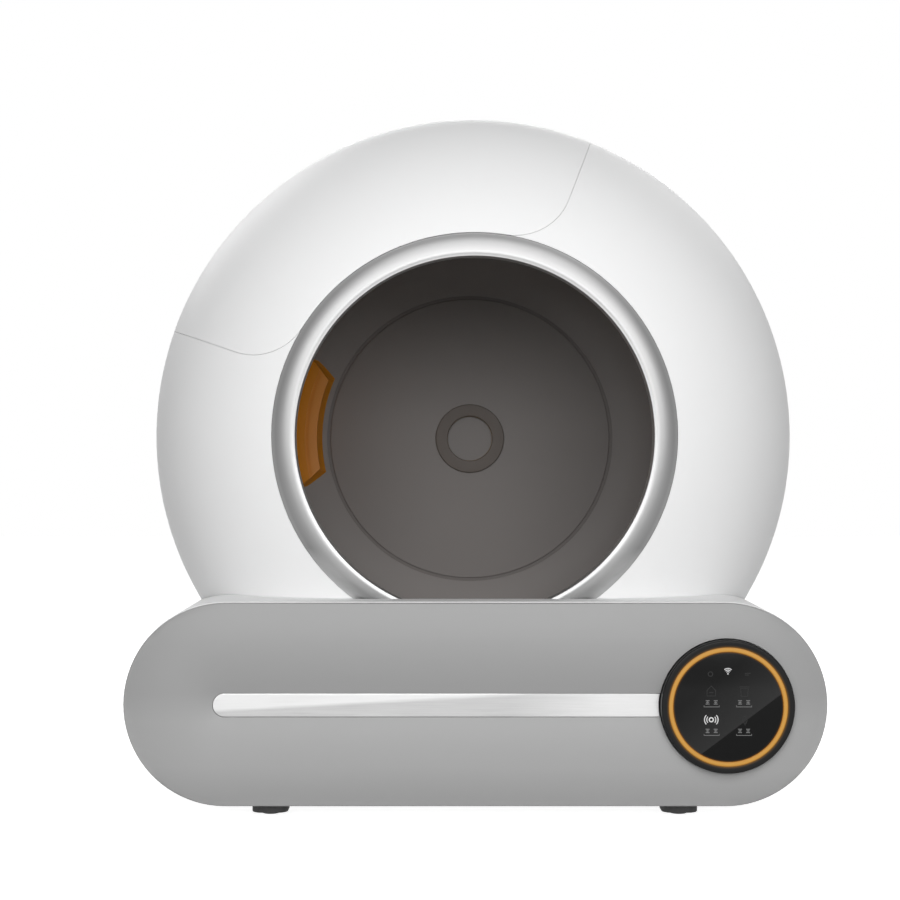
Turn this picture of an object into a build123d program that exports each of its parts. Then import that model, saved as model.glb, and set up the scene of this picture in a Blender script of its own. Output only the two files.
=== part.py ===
"""Self cleaning litter box, in millimetres.

The origin lies on the floor under the middle of the box. Z points up and the entry faces -Y.
Angles on the globe are taken about its turning axis, from +X towards +Z as the front view shows them.
"""

import os
from math import acos, asin, cos, degrees, pi, radians, sin, sqrt, tan

from build123d import *

# Overall sizes
overall_width = 600.0
globe_bottom = 31.0
overrun = 2.0

# Base housing
base_height = 174.25
front_ledge = 33.3
rear_ledge = 29.3
floor_gap = 12.5
base_wall = 3.0
base_edge_round = 1.2
floor_plate_thickness = 3.0
floor_plate_side_gap = 3.0
floor_plate_end_gap = 13.0
floor_window_width = 290.0
floor_window_length = 340.0
service_window_width = 190.0
service_window_height = 70.0
service_rise = 37.4
ledge_thickness = 6.0
ledge_width = 14.0
globe_seat_drop = 5.2
globe_seat_thickness = 5.0
globe_seat_width = 4.0

# Globe housing
globe_radius = 297.5
globe_face_inset = 1.8
globe_back_margin = 4.8
globe_front_depth = 207.7
globe_rear_depth = 227.7
globe_wall = 3.0
globe_seam_depth = 85.0
globe_gap = 0.6
mouth_flange_gap = 4.4
mouth_flange_thickness = 3.0
mouth_flange_rim = 3.7
ring_bed_drop = 5.7
rear_notch_width = 90.0

# Lift-off hatch between the two seams
hatch_angle_from = 68.4
hatch_angle_to = 160.5
hatch_ring_land = 0.7
hatch_corner = 50.0
hatch_gap = 0.9
hatch_seat_gap = 0.3
hatch_frame_reach = 9.0
hatch_frame_thickness = 2.5
hatch_magnet_radius = 5.0
hatch_magnet_thickness = 2.0

# Silver entry ring
ring_inner = 156.6
ring_outer = 177.0
ring_fit = 0.3
ring_crest_inset = 4.6
ring_crest_rise = 8.4
ring_edge_rise = 4.6
ring_lip_rise = 5.0
ring_edge_round = 1.6
sleeve_wall = 2.0
sleeve_length = 14.0
seal_width = 6.0
seal_clearance = 0.5

# Turning drum
drum_gap = 55.5
drum_face_inset = 8.2
drum_back_margin = 2.0
drum_front_gap = 12.7
drum_rear_gap = 24.7
drum_wall = 3.0
drum_mouth_gap = 1.6
drum_seam_depth = 84.0
back_disc_inset = 2.2
back_disc_groove = 2.4
track_thickness = 4.0
track_width = 16.0
port_angle_from = 100.0
port_angle_to = 145.0
port_front_depth = 55.0
port_rear_depth = 85.0
port_frame_width = 9.0
port_frame_height = 3.0
port_reach = 42.0

# Sieve inside the drum
sieve_middle_angle = 174.6
sieve_half_angle = 22.5
sieve_tip_half_angle = 18.5
sieve_disc_gap = 10.2
sieve_tip_length = 22.0
sieve_front_depth = 70.0
sieve_height = 14.0
sieve_skin = 3.0
sieve_bevel = 5.0
sieve_groove_inset = 14.5
sieve_groove_width = 3.2
sieve_groove_depth = 1.5
slot_width = 7.0
slot_length = 44.0
slot_pitch = 54.0
slot_rows = 3
slot_columns = 7
slot_column_angle = 5.2

# Rear bearing of the drum
axle_radius = 24.0
axle_setback = 1.0
axle_flange_radius = 46.0
axle_flange_thickness = 4.0
running_clearance = 0.05
bush_wall = 4.0
boss_wall = 5.0
boss_length = 16.0
hub_ring_radius = 37.1
hub_ring_height = 3.5
hub_ring_round = 1.2

# Ring gear and pinion
gear_module = 2.5
pinion_teeth = 18
pinion_rise = 77.0
pressure_angle = 20.0
gear_slack = 0.15
gear_width = 9.0
gear_web = 13.0
pinion_width = 7.5
pinion_setback = 1.0
pinion_shaft_radius = 4.0
pinion_shaft_length = 27.0
magnet_radius = 4.0
magnet_thickness = 2.0
magnet_angle = 20.0

# Front rollers
roller_radius = 14.0
roller_hub_radius = 11.0
roller_width = 14.0
roller_gap = 0.3
roller_angle = 38.0
roller_pin_radius = 4.0
post_width = 24.0
post_thickness = 4.0
post_gap = 3.0
post_head = 10.0

# Cradle deck over the drawer
deck_drum_gap = 3.5
deck_thickness = 3.0
deck_side_gap = 12.0
deck_end_gap = 1.0
chute_half_width = 100.0
chute_front_depth = 62.0
chute_rear_depth = 92.0
chute_wall = 2.5
chute_drum_gap = 2.5

# Gear motor
bracket_width = 64.0
bracket_thickness = 3.0
bracket_gap = 2.0
bracket_foot = 26.0
bracket_rise = 26.0
bracket_hole = 7.0
gearbox_width = 56.0
gearbox_depth = 24.0
gearbox_rise = 22.0
gearbox_drop = 44.0
motor_radius = 15.0
motor_length = 62.0
motor_drop = 27.0
motor_neck_radius = 9.0
motor_neck_length = 6.0
sensor_board_width = 16.0
sensor_board_height = 12.0
sensor_board_thickness = 1.6
sensor_chip_width = 5.0
sensor_chip_height = 4.0

# Electronics at the back
board_width = 110.0
board_height = 62.0
board_thickness = 1.6
board_shift = 43.0
board_rise = 28.4
standoff_height = 6.0
standoff_radius = 3.0
standoff_inset = 6.0
chip_width = 16.0
chip_height = 2.5
relay_width = 18.0
relay_height = 9.0
inlet_shift = 55.0
inlet_rise = 22.4
inlet_radius = 7.0
inlet_flange_radius = 9.5
inlet_flange_thickness = 2.0
inlet_length = 18.0
inlet_socket_radius = 4.2
inlet_socket_depth = 12.0
inlet_pin_radius = 1.0
button_shift = 7.0
button_radius = 8.0
button_gap = 0.3
button_length = 12.0
button_stand = 2.0
button_flange_radius = 10.0
button_flange_thickness = 2.0
button_body_radius = 12.5
button_body_length = 12.0
button_body_wall = 1.5
cover_inlet_gap = 50.9
cover_height = 90.0
cover_thickness = 3.0
cover_corner = 10.0
screw_radius = 2.0
screw_head_radius = 3.6
screw_head_height = 2.0
screw_length = 8.0
screw_inset = 6.0

# Feet
foot_side_inset = 35.4
foot_front_inset = 37.0
foot_rear_inset = 53.0
foot_radius = 15.6
foot_height = 10.0
foot_chamfer = 2.0
cell_radius = 12.2
cell_bed = 7.0

# Drawer
drawer_gap = 1.5
tray_width = 324.0
tray_floor_gap = 4.0
tray_deck_gap = 5.0
tray_length = 420.5
tray_wall = 2.5
tray_corner = 18.0
tray_rib_width = 8.0
tray_rib_height = 4.0
tray_rib_rise = 7.5
runner_gap = 0.5
runner_wall = 7.0
runner_height = 27.0
runner_setback = 28.0
runner_length = 420.0
window_margin = 2.5
bag_ring_width = 8.0
bag_ring_thickness = 2.0
bag_ring_inset = 4.0
bag_post_width = 8.0

# Drawer front
pod_stand = 8.0
valley_depth = 3.5
strip_bed_depth = 2.0
fascia_skin = 3.0
carrier_thickness = 3.0
fascia_inset = 0.8
carrier_inset = 16.0
rim_drop = 6.5
rim_round = 1.5
crest_share = 0.53
strip_height = 19.5
strip_thickness = 1.6
strip_gap = 0.35
pod_hole_gap = 0.8

# Control pod
pod_radius = 56.3
pod_wall = 2.5
pod_edge_round = 1.6
light_outer = 50.3
light_inner = 46.3
light_depth = 4.0
light_sink = 0.4
glass_gap = 0.1
glass_thickness = 2.4
glass_sink = 0.3
pod_shelf_inner = 40.0
pod_shelf_thickness = 2.0
pod_board_radius = 38.0
pod_board_thickness = 1.6
pod_board_gap = 3.0
pod_lamp_width = 3.5
pod_lamp_height = 1.4
pod_lamp_circle = 33.0
pod_lamps = 12
pod_post_radius = 4.0
pod_post_circle = 30.0

# Places that follow from the sizes above
axis_height = globe_bottom + globe_radius
base_middle = floor_gap + base_height / 2
base_top = floor_gap + base_height
end_radius = base_height / 2
end_x = overall_width / 2 - end_radius
base_front = -globe_front_depth - front_ledge
base_rear = globe_rear_depth + rear_ledge
fascia_back = base_front - drawer_gap
carrier_front = fascia_back - carrier_thickness
strip_bed = carrier_front - fascia_skin
fascia_valley = strip_bed - strip_bed_depth
fascia_crest = fascia_valley - valley_depth
pod_front = fascia_crest - pod_stand
cover_back = base_rear + cover_thickness
front_limit = pod_front - overrun
rear_limit = cover_back + screw_head_height + overrun
inner_front = base_front + base_wall
inner_rear = base_rear - base_wall
inner_bottom = floor_gap + base_wall
inner_radius = end_radius - base_wall
floor_top = inner_bottom + floor_plate_thickness
ring_bed_depth = globe_front_depth - ring_bed_drop
ring_bed = -ring_bed_depth
ring_crest_depth = ring_bed_depth + ring_crest_rise
ring_edge_depth = ring_bed_depth + ring_edge_rise
ring_lip_depth = ring_bed_depth + ring_lip_rise
sleeve_back_depth = ring_bed_depth - sleeve_length
sleeve_outer = ring_inner + sleeve_wall
mouth_flange_inner = sleeve_outer + mouth_flange_gap
flange_back = ring_bed + mouth_flange_thickness
hatch_inner_radius = ring_outer + ring_fit + hatch_ring_land
globe_inner_rear = globe_rear_depth - globe_wall
drum_front_depth = globe_front_depth - drum_front_gap
drum_rear_depth = globe_rear_depth - drum_rear_gap
drum_mouth = sleeve_outer + drum_mouth_gap
drum_radius = globe_radius - drum_gap
track_radius = drum_radius + track_thickness
roller_reach = track_radius + roller_radius + roller_gap
roller_x = roller_reach * sin(radians(roller_angle))
roller_z = axis_height - roller_reach * cos(radians(roller_angle))
deck_top = axis_height - track_radius - deck_drum_gap
deck_height = deck_top - deck_thickness
gear_teeth = round(2 * (axis_height - deck_top - pinion_rise) / gear_module - pinion_teeth)
gear_radius = gear_module * gear_teeth / 2
pinion_radius = gear_module * pinion_teeth / 2
pinion_z = axis_height - gear_radius - pinion_radius
gear_back = drum_rear_depth + gear_width
globe_front_rim = globe_radius - ring_inner + globe_face_inset
globe_rear_rim = globe_radius - gear_radius - globe_back_margin
drum_front_rim = drum_radius - drum_mouth + drum_face_inset
drum_rear_rim = drum_radius - gear_radius - drum_back_margin
back_disc_radius = drum_radius - drum_rear_rim - back_disc_inset
axle_front_depth = drum_rear_depth + axle_setback
port_inner_radius = drum_radius - port_reach
sieve_inner_radius = back_disc_radius + sieve_disc_gap
sieve_shoulder_radius = sieve_inner_radius + sieve_tip_length
sieve_groove_radius = sieve_inner_radius + sieve_groove_inset
bracket_front = gear_back + bracket_gap
bracket_back = bracket_front + bracket_thickness
board_x = board_shift - end_x
board_z = base_middle + board_rise
inlet_x = end_x - inlet_shift
inlet_z = base_middle + inlet_rise
button_x = end_x - button_shift
cover_width = 2 * (inlet_x - cover_inlet_gap)
service_height = base_middle + service_rise
tray_half = tray_width / 2
tray_bottom = floor_top + tray_floor_gap
tray_top = deck_height - tray_deck_gap
tray_front = fascia_back
tray_rear = tray_front + tray_length
rib_bottom = tray_bottom + tray_rib_rise
window_half = tray_half + tray_rib_width + window_margin


def block(x_from, x_to, y_from, y_to, z_from, z_to):
    """Upright box between the given limits."""
    middle = Pos((x_from + x_to) / 2, (y_from + y_to) / 2, (z_from + z_to) / 2)
    return middle * Box(x_to - x_from, y_to - y_from, z_to - z_from)


def along_y(outline, y_from, y_to):
    """Outline of the front view, carried from one depth to another."""
    return Pos(0, y_to, 0) * extrude(Plane.XZ * outline, amount=y_to - y_from)


def disc(x, z, radius, y_from, y_to):
    """Round bar that runs along Y."""
    return along_y(Pos(x, z) * Circle(radius), y_from, y_to)


def tube(x, z, outer, inner, y_from, y_to):
    """Round tube that runs along Y."""
    return along_y(Pos(x, z) * (Circle(outer) - Circle(inner)), y_from, y_to)


def stadium(width, height, y_from, y_to):
    """Bar with the rounded outline of the base."""
    return along_y(Pos(0, base_middle) * SlotOverall(width, height), y_from, y_to)


def turned(section):
    """Body turned about the axis of the globe from a section of radius and depth."""
    return Pos(0, 0, axis_height) * revolve(section, Axis.Y)


def barrel(radius, front_rim, rear_rim, front, rear):
    """Round body with flat ends and a bend radius at each rim."""
    face = (radius - front_rim, front)
    back = (radius - rear_rim, rear)
    side_front = (radius, front + front_rim)
    side_rear = (radius, rear - rear_rim)
    front_lift = front_rim * (1 - sin(pi / 4))
    rear_lift = rear_rim * (1 - sin(pi / 4))
    outline = [
        Line((0, front), face),
        ThreePointArc(face, (radius - front_lift, front + front_lift), side_front),
        Line(side_front, side_rear),
        ThreePointArc(side_rear, (radius - rear_lift, rear - rear_lift), back),
        Line(back, (0, rear)),
        Line((0, rear), (0, front)),
    ]
    return turned(make_face(outline))


def meeting_height():
    """Height at which the globe's outer face meets the inside of the base's round shoulder."""
    rise = axis_height - base_middle
    apart = sqrt(end_x ** 2 + rise ** 2)
    lean = acos((inner_radius ** 2 + apart ** 2 - globe_radius ** 2) / (2 * inner_radius * apart))
    return base_middle + inner_radius * sin(pi - asin(rise / apart) - lean)


def globe_half_width(radius):
    """Half the width of a round body of the globe at the seat's height."""
    return sqrt(radius ** 2 - (axis_height - seat_height()) ** 2)


def seat_height():
    """Height of the seat on which the globe's shells stand."""
    return meeting_height() - globe_seat_drop


def globe_body(inset):
    """Solid globe, its faces moved inwards by the inset."""
    front = inset - globe_front_depth
    rear = globe_rear_depth - inset
    return barrel(globe_radius - inset, globe_front_rim - inset, globe_rear_rim - inset, front, rear)


def drum_body(inset):
    """Solid drum, its faces moved inwards by the inset."""
    front = inset - drum_front_depth
    rear = drum_rear_depth - inset
    return barrel(drum_radius - inset, drum_front_rim - inset, drum_rear_rim - inset, front, rear)


def on_circle(radius, angle):
    """Point of the front view at a radius and an angle in degrees."""
    return (radius * cos(radians(angle)), radius * sin(radians(angle)))


def sector(angle_from, angle_to, inner, outer):
    """Piece of a ring between two angles, in the front view about the globe's axis."""
    middle = (angle_from + angle_to) / 2
    outline = [
        Line(on_circle(inner, angle_from), on_circle(outer, angle_from)),
        ThreePointArc(on_circle(outer, angle_from), on_circle(outer, middle), on_circle(outer, angle_to)),
        Line(on_circle(outer, angle_to), on_circle(inner, angle_to)),
        ThreePointArc(on_circle(inner, angle_to), on_circle(inner, middle), on_circle(inner, angle_from)),
    ]
    return make_face(outline)


def about_axis(outline, y_from, y_to):
    """Front view outline drawn about the globe's axis, carried between two depths."""
    return along_y(Pos(0, axis_height) * outline, y_from, y_to)


def screw_to_front(x, z, seat):
    """Pan head screw along Y whose head stands behind the seat."""
    head = disc(x, z, screw_head_radius, seat, seat + screw_head_height)
    return head + disc(x, z, screw_radius, seat - screw_length, seat)


def screw_hole(x, z, seat, depth):
    """Hole that the shank of a screw along Y fills."""
    return disc(x, z, screw_radius, seat - depth, seat + overrun)


# Base


def foot_places():
    """Places of the four feet in plan."""
    across = end_x - foot_side_inset
    depths = (base_front + foot_front_inset, base_rear - foot_rear_inset)
    return [(x, y) for x in (-across, across) for y in depths]


def cover_screw_places():
    """Places of the service cover's screws in the back view."""
    across = cover_width / 2 - screw_inset
    up = cover_height / 2 - screw_inset
    return [(x, service_height + z) for x in (-across, across) for z in (-up, up)]


def base_housing():
    """White stadium shell with its front wall, rear wall, ledges and globe seats."""
    outer = stadium(overall_width, base_height, base_front, base_rear)
    rims = outer.edges().filter_by_position(Axis.Y, base_front, base_front)
    rims += outer.edges().filter_by_position(Axis.Y, base_rear, base_rear)
    outer = fillet(rims, base_edge_round)
    hollow_width = overall_width - 2 * base_wall
    hollow_height = base_height - 2 * base_wall
    hollow = stadium(hollow_width, hollow_height, inner_front, inner_rear)
    shell = outer - hollow
    window_top = tray_top + window_margin
    shell -= block(
        -window_half, window_half, base_front - overrun, inner_front + overrun, inner_bottom, window_top
    )
    shell -= block(
        -floor_window_width / 2,
        floor_window_width / 2,
        -floor_window_length / 2,
        floor_window_length / 2,
        floor_gap - overrun,
        inner_bottom + overrun,
    )
    shell -= block(
        -service_window_width / 2,
        service_window_width / 2,
        inner_rear - overrun,
        base_rear + overrun,
        service_height - service_window_height / 2,
        service_height + service_window_height / 2,
    )
    shell -= disc(inlet_x, inlet_z, inlet_radius, inner_rear - overrun, base_rear + overrun)
    shell -= disc(button_x, inlet_z, button_radius + button_gap, inner_rear - overrun, base_rear + overrun)
    for x, z in cover_screw_places():
        shell -= screw_hole(x, z, cover_back, screw_length)
    shell -= globe_body(-globe_gap)
    bump = ring_outer + globe_gap
    shell -= disc(0, axis_height, bump, -ring_crest_depth - globe_gap, globe_front_rim - globe_front_depth)
    for side in (-1, 1):
        deck_ledge = block(
            overall_width / 2 - deck_side_gap - ledge_width,
            overall_width / 2,
            inner_front,
            inner_rear,
            deck_height - ledge_thickness,
            deck_height,
        )
        seat = block(
            globe_half_width(globe_radius - globe_wall) - globe_seat_width,
            overall_width / 2,
            globe_front_rim - globe_front_depth,
            globe_rear_depth - globe_rear_rim,
            seat_height() - globe_seat_thickness,
            seat_height(),
        )
        ledges = (deck_ledge + seat) & hollow
        shell += ledges if side > 0 else mirror(ledges, about=Plane.YZ)
    return shell


def base_floor():
    """Plate that closes the underside from within."""
    half_width = end_x - floor_plate_side_gap
    front = inner_front + floor_plate_end_gap
    rear = inner_rear - floor_plate_end_gap
    return block(-half_width, half_width, front, rear, inner_bottom, floor_top)


def rubber_feet():
    """Four round feet with a bed for their load cells."""
    feet = []
    for x, y in foot_places():
        foot = Cylinder(foot_radius, foot_height, align=(Align.CENTER, Align.CENTER, Align.MIN))
        foot = chamfer(foot.edges().filter_by_position(Axis.Z, 0, 0), foot_chamfer)
        bed = Cylinder(cell_radius, foot_height, align=(Align.CENTER, Align.CENTER, Align.MIN))
        feet.append(Pos(x, y, 0) * (foot - Pos(0, 0, cell_bed) * bed))
    return feet


def load_cells():
    """Round load cells between the feet and the housing."""
    height = floor_gap - cell_bed
    cell = Cylinder(cell_radius, height, align=(Align.CENTER, Align.CENTER, Align.MIN))
    return [Pos(x, y, cell_bed) * cell for x, y in foot_places()]


def drawer_runner(side):
    """Channel rail on the floor that carries one rib of the tray."""
    inner = tray_half + tray_wall
    outer = tray_half + tray_rib_width + runner_wall
    front = inner_front + runner_setback
    rear = front + runner_length
    rail = block(inner, outer, front, rear, floor_top, floor_top + runner_height)
    groove_bottom = rib_bottom - runner_gap
    groove_top = rib_bottom + tray_rib_height + runner_gap
    groove_side = tray_half + tray_rib_width + runner_gap
    rail -= block(inner - overrun, groove_side, front - overrun, rear + overrun, groove_bottom, groove_top)
    return rail if side > 0 else mirror(rail, about=Plane.YZ)


def cradle_deck():
    """Deck between drum and drawer with the chute collar and the roller posts."""
    half = overall_width / 2 - deck_side_gap
    front = inner_front + deck_end_gap
    rear = inner_rear - deck_end_gap
    deck = block(-half, half, front, rear, deck_height, deck_top)
    collar_half = chute_half_width + chute_wall
    collar = block(
        -collar_half,
        collar_half,
        -chute_front_depth - chute_wall,
        chute_rear_depth + chute_wall,
        deck_height,
        axis_height - drum_radius / 2,
    )
    swing = drum_radius + port_frame_height + chute_drum_gap
    collar -= disc(0, axis_height, swing, -drum_front_depth, drum_rear_depth)
    deck += collar
    deck -= block(
        -chute_half_width,
        chute_half_width,
        -chute_front_depth,
        chute_rear_depth,
        deck_height - overrun,
        axis_height,
    )
    for side in (-1, 1):
        deck += roller_posts(side * roller_x)
    return deck


def roller_posts(x):
    """Pair of posts with the hole for one roller pin."""
    posts = None
    half_gap = roller_width / 2 + post_gap
    for start in (-drum_seam_depth - half_gap - post_thickness, -drum_seam_depth + half_gap):
        end = start + post_thickness
        post = block(x - post_width / 2, x + post_width / 2, start, end, deck_top, roller_z)
        post += disc(x, roller_z, post_head, start, end)
        post -= disc(x, roller_z, roller_pin_radius, start - overrun, end + overrun)
        posts = post if posts is None else posts + post
    return posts


def roller_pins():
    """Steel pins on which the two rollers turn."""
    half = roller_width / 2 + post_gap + post_thickness
    front = -drum_seam_depth - half
    rear = -drum_seam_depth + half
    return [disc(side * roller_x, roller_z, roller_pin_radius, front, rear) for side in (-1, 1)]


# Front rollers


def roller_hub(side):
    """Plastic wheel that turns on its pin."""
    half = roller_width / 2
    bore = roller_pin_radius + running_clearance
    middle = -drum_seam_depth
    return tube(side * roller_x, roller_z, roller_hub_radius, bore, middle - half, middle + half)


def roller_tyre(side):
    """Rubber tyre round the wheel."""
    half = roller_width / 2
    middle = -drum_seam_depth
    x = side * roller_x
    return tube(x, roller_z, roller_radius, roller_hub_radius, middle - half, middle + half)


# Globe housing


def hatch_outline(grow):
    """Front view outline of the hatch, grown on every side and rounded at the entry ring."""
    inner = hatch_inner_radius - grow
    outer = globe_radius + globe_front_rim
    middle = (hatch_angle_from + hatch_angle_to) / 2
    near = degrees(asin(grow / inner))
    far = degrees(asin(grow / outer))
    start_in = on_circle(inner, hatch_angle_from - near)
    start_out = on_circle(outer, hatch_angle_from - far)
    end_out = on_circle(outer, hatch_angle_to + far)
    end_in = on_circle(inner, hatch_angle_to + near)
    outline = [
        Line(start_in, start_out),
        ThreePointArc(start_out, on_circle(outer, middle), end_out),
        Line(end_out, end_in),
        ThreePointArc(end_in, on_circle(inner, middle), start_in),
    ]
    shape = make_face(outline)
    corners = shape.vertices().sort_by(lambda point: point.X ** 2 + point.Y ** 2)[:2]
    return fillet(corners, hatch_corner + grow)


def above_seat(shape):
    """The part of a globe piece that stands above its seat in the base."""
    top = axis_height + globe_radius + overrun
    reach = globe_radius + overrun
    return shape & block(-reach, reach, front_limit, rear_limit, seat_height(), top)


def globe_front_shell():
    """White front shell with the hatch opening and the flange for the entry ring."""
    shell = globe_body(0) - globe_body(globe_wall)
    shell &= block(
        -globe_radius - overrun,
        globe_radius + overrun,
        front_limit,
        globe_seam_depth,
        0,
        axis_height + globe_radius + overrun,
    )
    shell = above_seat(shell)
    recess = ring_outer + ring_fit
    flange_outer = recess + mouth_flange_rim
    front_edge = -globe_front_depth + globe_wall
    shell -= disc(0, axis_height, recess, front_limit, front_edge + overrun)
    shell += tube(0, axis_height, flange_outer, mouth_flange_inner, front_edge, flange_back)
    shell -= disc(0, axis_height, recess, front_limit, ring_bed)
    return shell - about_axis(hatch_outline(hatch_gap), front_limit, globe_seam_depth + overrun)


def globe_rear_shell():
    """White rear shell that holds the drum's axle."""
    shell = globe_body(0) - globe_body(globe_wall)
    shell &= block(
        -globe_radius - overrun,
        globe_radius + overrun,
        globe_seam_depth,
        rear_limit,
        0,
        axis_height + globe_radius + overrun,
    )
    shell = above_seat(shell)
    half_notch = rear_notch_width / 2
    shell -= block(-half_notch, half_notch, drum_rear_depth, rear_limit, 0, base_top - base_wall)
    for x, z in axle_screw_places():
        shell -= screw_hole(x, z, globe_rear_depth, screw_length)
    return shell


def globe_hatch():
    """Lift-off panel between the two seams."""
    panel = globe_body(0) - globe_body(globe_wall - hatch_seat_gap)
    return panel & about_axis(hatch_outline(0), front_limit, globe_seam_depth - hatch_gap)


def hatch_frame():
    """Inner frame on which the hatch rests."""
    layer = globe_body(globe_wall) - globe_body(globe_wall + hatch_frame_thickness)
    rear = globe_seam_depth + hatch_frame_reach
    frame = layer & about_axis(hatch_outline(hatch_frame_reach), front_limit, rear)
    inner = hatch_outline(-hatch_frame_reach)
    frame -= about_axis(inner, front_limit, globe_seam_depth - hatch_frame_reach)
    clear = ring_outer + ring_fit + mouth_flange_rim + globe_gap
    return frame - disc(0, axis_height, clear, front_limit, 0)


def magnet_places():
    """Angles and depths of the hatch magnets along the two straight seams."""
    lean = degrees(hatch_frame_reach / 2 / globe_radius)
    angles = (hatch_angle_from + lean, hatch_angle_to - lean)
    depths = (-globe_seam_depth / 2, globe_seam_depth / 2)
    return [(angle, depth) for angle in angles for depth in depths]


def radial_disc(angle, depth, radius, inner, outer):
    """Round disc whose axis points out from the globe's axis."""
    bar = Cylinder(radius, outer - inner, align=(Align.CENTER, Align.CENTER, Align.MIN))
    return Pos(0, depth, axis_height) * Rot(0, 90 - angle, 0) * Pos(0, 0, inner) * bar


def frame_magnets():
    """Magnets under the frame that hold the hatch."""
    outer = globe_radius - globe_wall - hatch_frame_thickness
    discs = []
    for angle, depth in magnet_places():
        raw = radial_disc(
            angle, depth, hatch_magnet_radius, outer - hatch_magnet_thickness, outer + overrun
        )
        discs.append(raw & globe_body(globe_wall + hatch_frame_thickness))
    return discs


def entry_ring():
    """Satin silver ring with the sleeve that reaches into the drum's mouth."""
    crest = (ring_inner + ring_crest_inset, -ring_crest_depth)
    lip = (ring_inner, -ring_lip_depth)
    edge = (ring_outer, -ring_edge_depth)
    outline = [
        Line((ring_inner, -sleeve_back_depth), lip),
        TangentArc(crest, lip, tangent=(-1, 0)),
        TangentArc(crest, edge, tangent=(1, 0)),
        Line(edge, (ring_outer, ring_bed)),
        Line((ring_outer, ring_bed), (sleeve_outer, ring_bed)),
        Line((sleeve_outer, ring_bed), (sleeve_outer, -sleeve_back_depth)),
        Line((sleeve_outer, -sleeve_back_depth), (ring_inner, -sleeve_back_depth)),
    ]
    ring = turned(make_face(outline))
    rim = ring.edges().filter_by_position(Axis.Y, edge[1], edge[1])
    return fillet(rim, ring_edge_round)


def entry_seal():
    """Felt ring between the flange and the front of the drum."""
    outer = mouth_flange_inner + seal_width
    rear = -drum_front_depth - seal_clearance
    return tube(0, axis_height, outer, mouth_flange_inner, flange_back, rear)


def axle_screw_places():
    """Places of the screws round the axle flange in the back view."""
    circle = (axle_radius + axle_flange_radius) / 2
    places = [on_circle(circle, angle) for angle in range(45, 360, 90)]
    return [(x, axis_height + z) for x, z in places]


def rear_axle():
    """Stub axle bolted to the rear shell."""
    rear = globe_inner_rear
    axle = disc(0, axis_height, axle_radius, axle_front_depth, rear)
    axle += disc(0, axis_height, axle_flange_radius, rear - axle_flange_thickness, rear)
    for x, z in axle_screw_places():
        axle -= screw_hole(x, z, globe_rear_depth, screw_length)
    return axle


def axle_screws():
    """Screws through the rear shell into the axle flange."""
    return [screw_to_front(x, z, globe_rear_depth) for x, z in axle_screw_places()]


# Drum


def drum_front_shell():
    """Front half of the drum with the round mouth."""
    shell = drum_body(0) - drum_body(drum_wall)
    reach = drum_radius + overrun
    shell &= block(
        -reach, reach, front_limit, -drum_seam_depth, axis_height - reach, axis_height + reach
    )
    return shell - disc(0, axis_height, drum_mouth, front_limit, -drum_seam_depth)


def port_cut(grow):
    """Prism of the waste port, grown on every side."""
    lean = degrees(grow / drum_radius)
    outline = sector(
        port_angle_from - lean, port_angle_to + lean, port_inner_radius, globe_radius
    )
    return about_axis(outline, -port_front_depth - grow, port_rear_depth + grow)


def drum_rear_shell():
    """Rear part of the drum with the waste port in its side."""
    shell = drum_body(0) - drum_body(drum_wall)
    reach = drum_radius + overrun
    shell &= block(
        -reach, reach, -drum_seam_depth, rear_limit, axis_height - reach, axis_height + reach
    )
    rim = back_disc_radius + back_disc_groove
    shell -= disc(0, axis_height, rim, 0, rear_limit)
    return shell - port_cut(0)


def drum_back_disc():
    """Round back wall of the drum with the boss for its bush."""
    front = drum_rear_depth - drum_wall
    wall = disc(0, axis_height, back_disc_radius, front, drum_rear_depth)
    bush_outer = axle_radius + bush_wall
    boss_radius = bush_outer + boss_wall
    boss_end = drum_rear_depth + boss_length
    wall += disc(0, axis_height, boss_radius, front, boss_end)
    wall -= disc(0, axis_height, bush_outer, drum_rear_depth, boss_end + overrun)
    return wall - disc(0, axis_height, axle_radius + gear_module, front - overrun, boss_end)


def hub_bush():
    """Plain bush that turns on the axle."""
    bore = axle_radius + running_clearance
    rear = drum_rear_depth + boss_length
    front = axle_front_depth
    return tube(0, axis_height, axle_radius + bush_wall, bore, front, rear)


def hub_ring():
    """Raised ring round the axle end, seen through the entry."""
    front = drum_rear_depth - drum_wall - hub_ring_height
    inner = axle_radius + running_clearance
    ring = tube(0, axis_height, hub_ring_radius, inner, front, front + hub_ring_height)
    rims = ring.edges().filter_by_position(Axis.Y, front, front)
    return fillet(rims, hub_ring_round)


def drum_track():
    """Band over the drum's seam that runs on the rollers."""
    front = -drum_seam_depth - track_width / 2
    return tube(0, axis_height, track_radius, drum_radius, front, front + track_width)


def port_frame():
    """Raised frame round the waste port."""
    outer = disc(0, axis_height, drum_radius + port_frame_height, -drum_front_depth, drum_rear_depth)
    outer -= disc(0, axis_height, drum_radius, front_limit, rear_limit)
    return (outer & port_cut(port_frame_width)) - port_cut(0)


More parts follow.
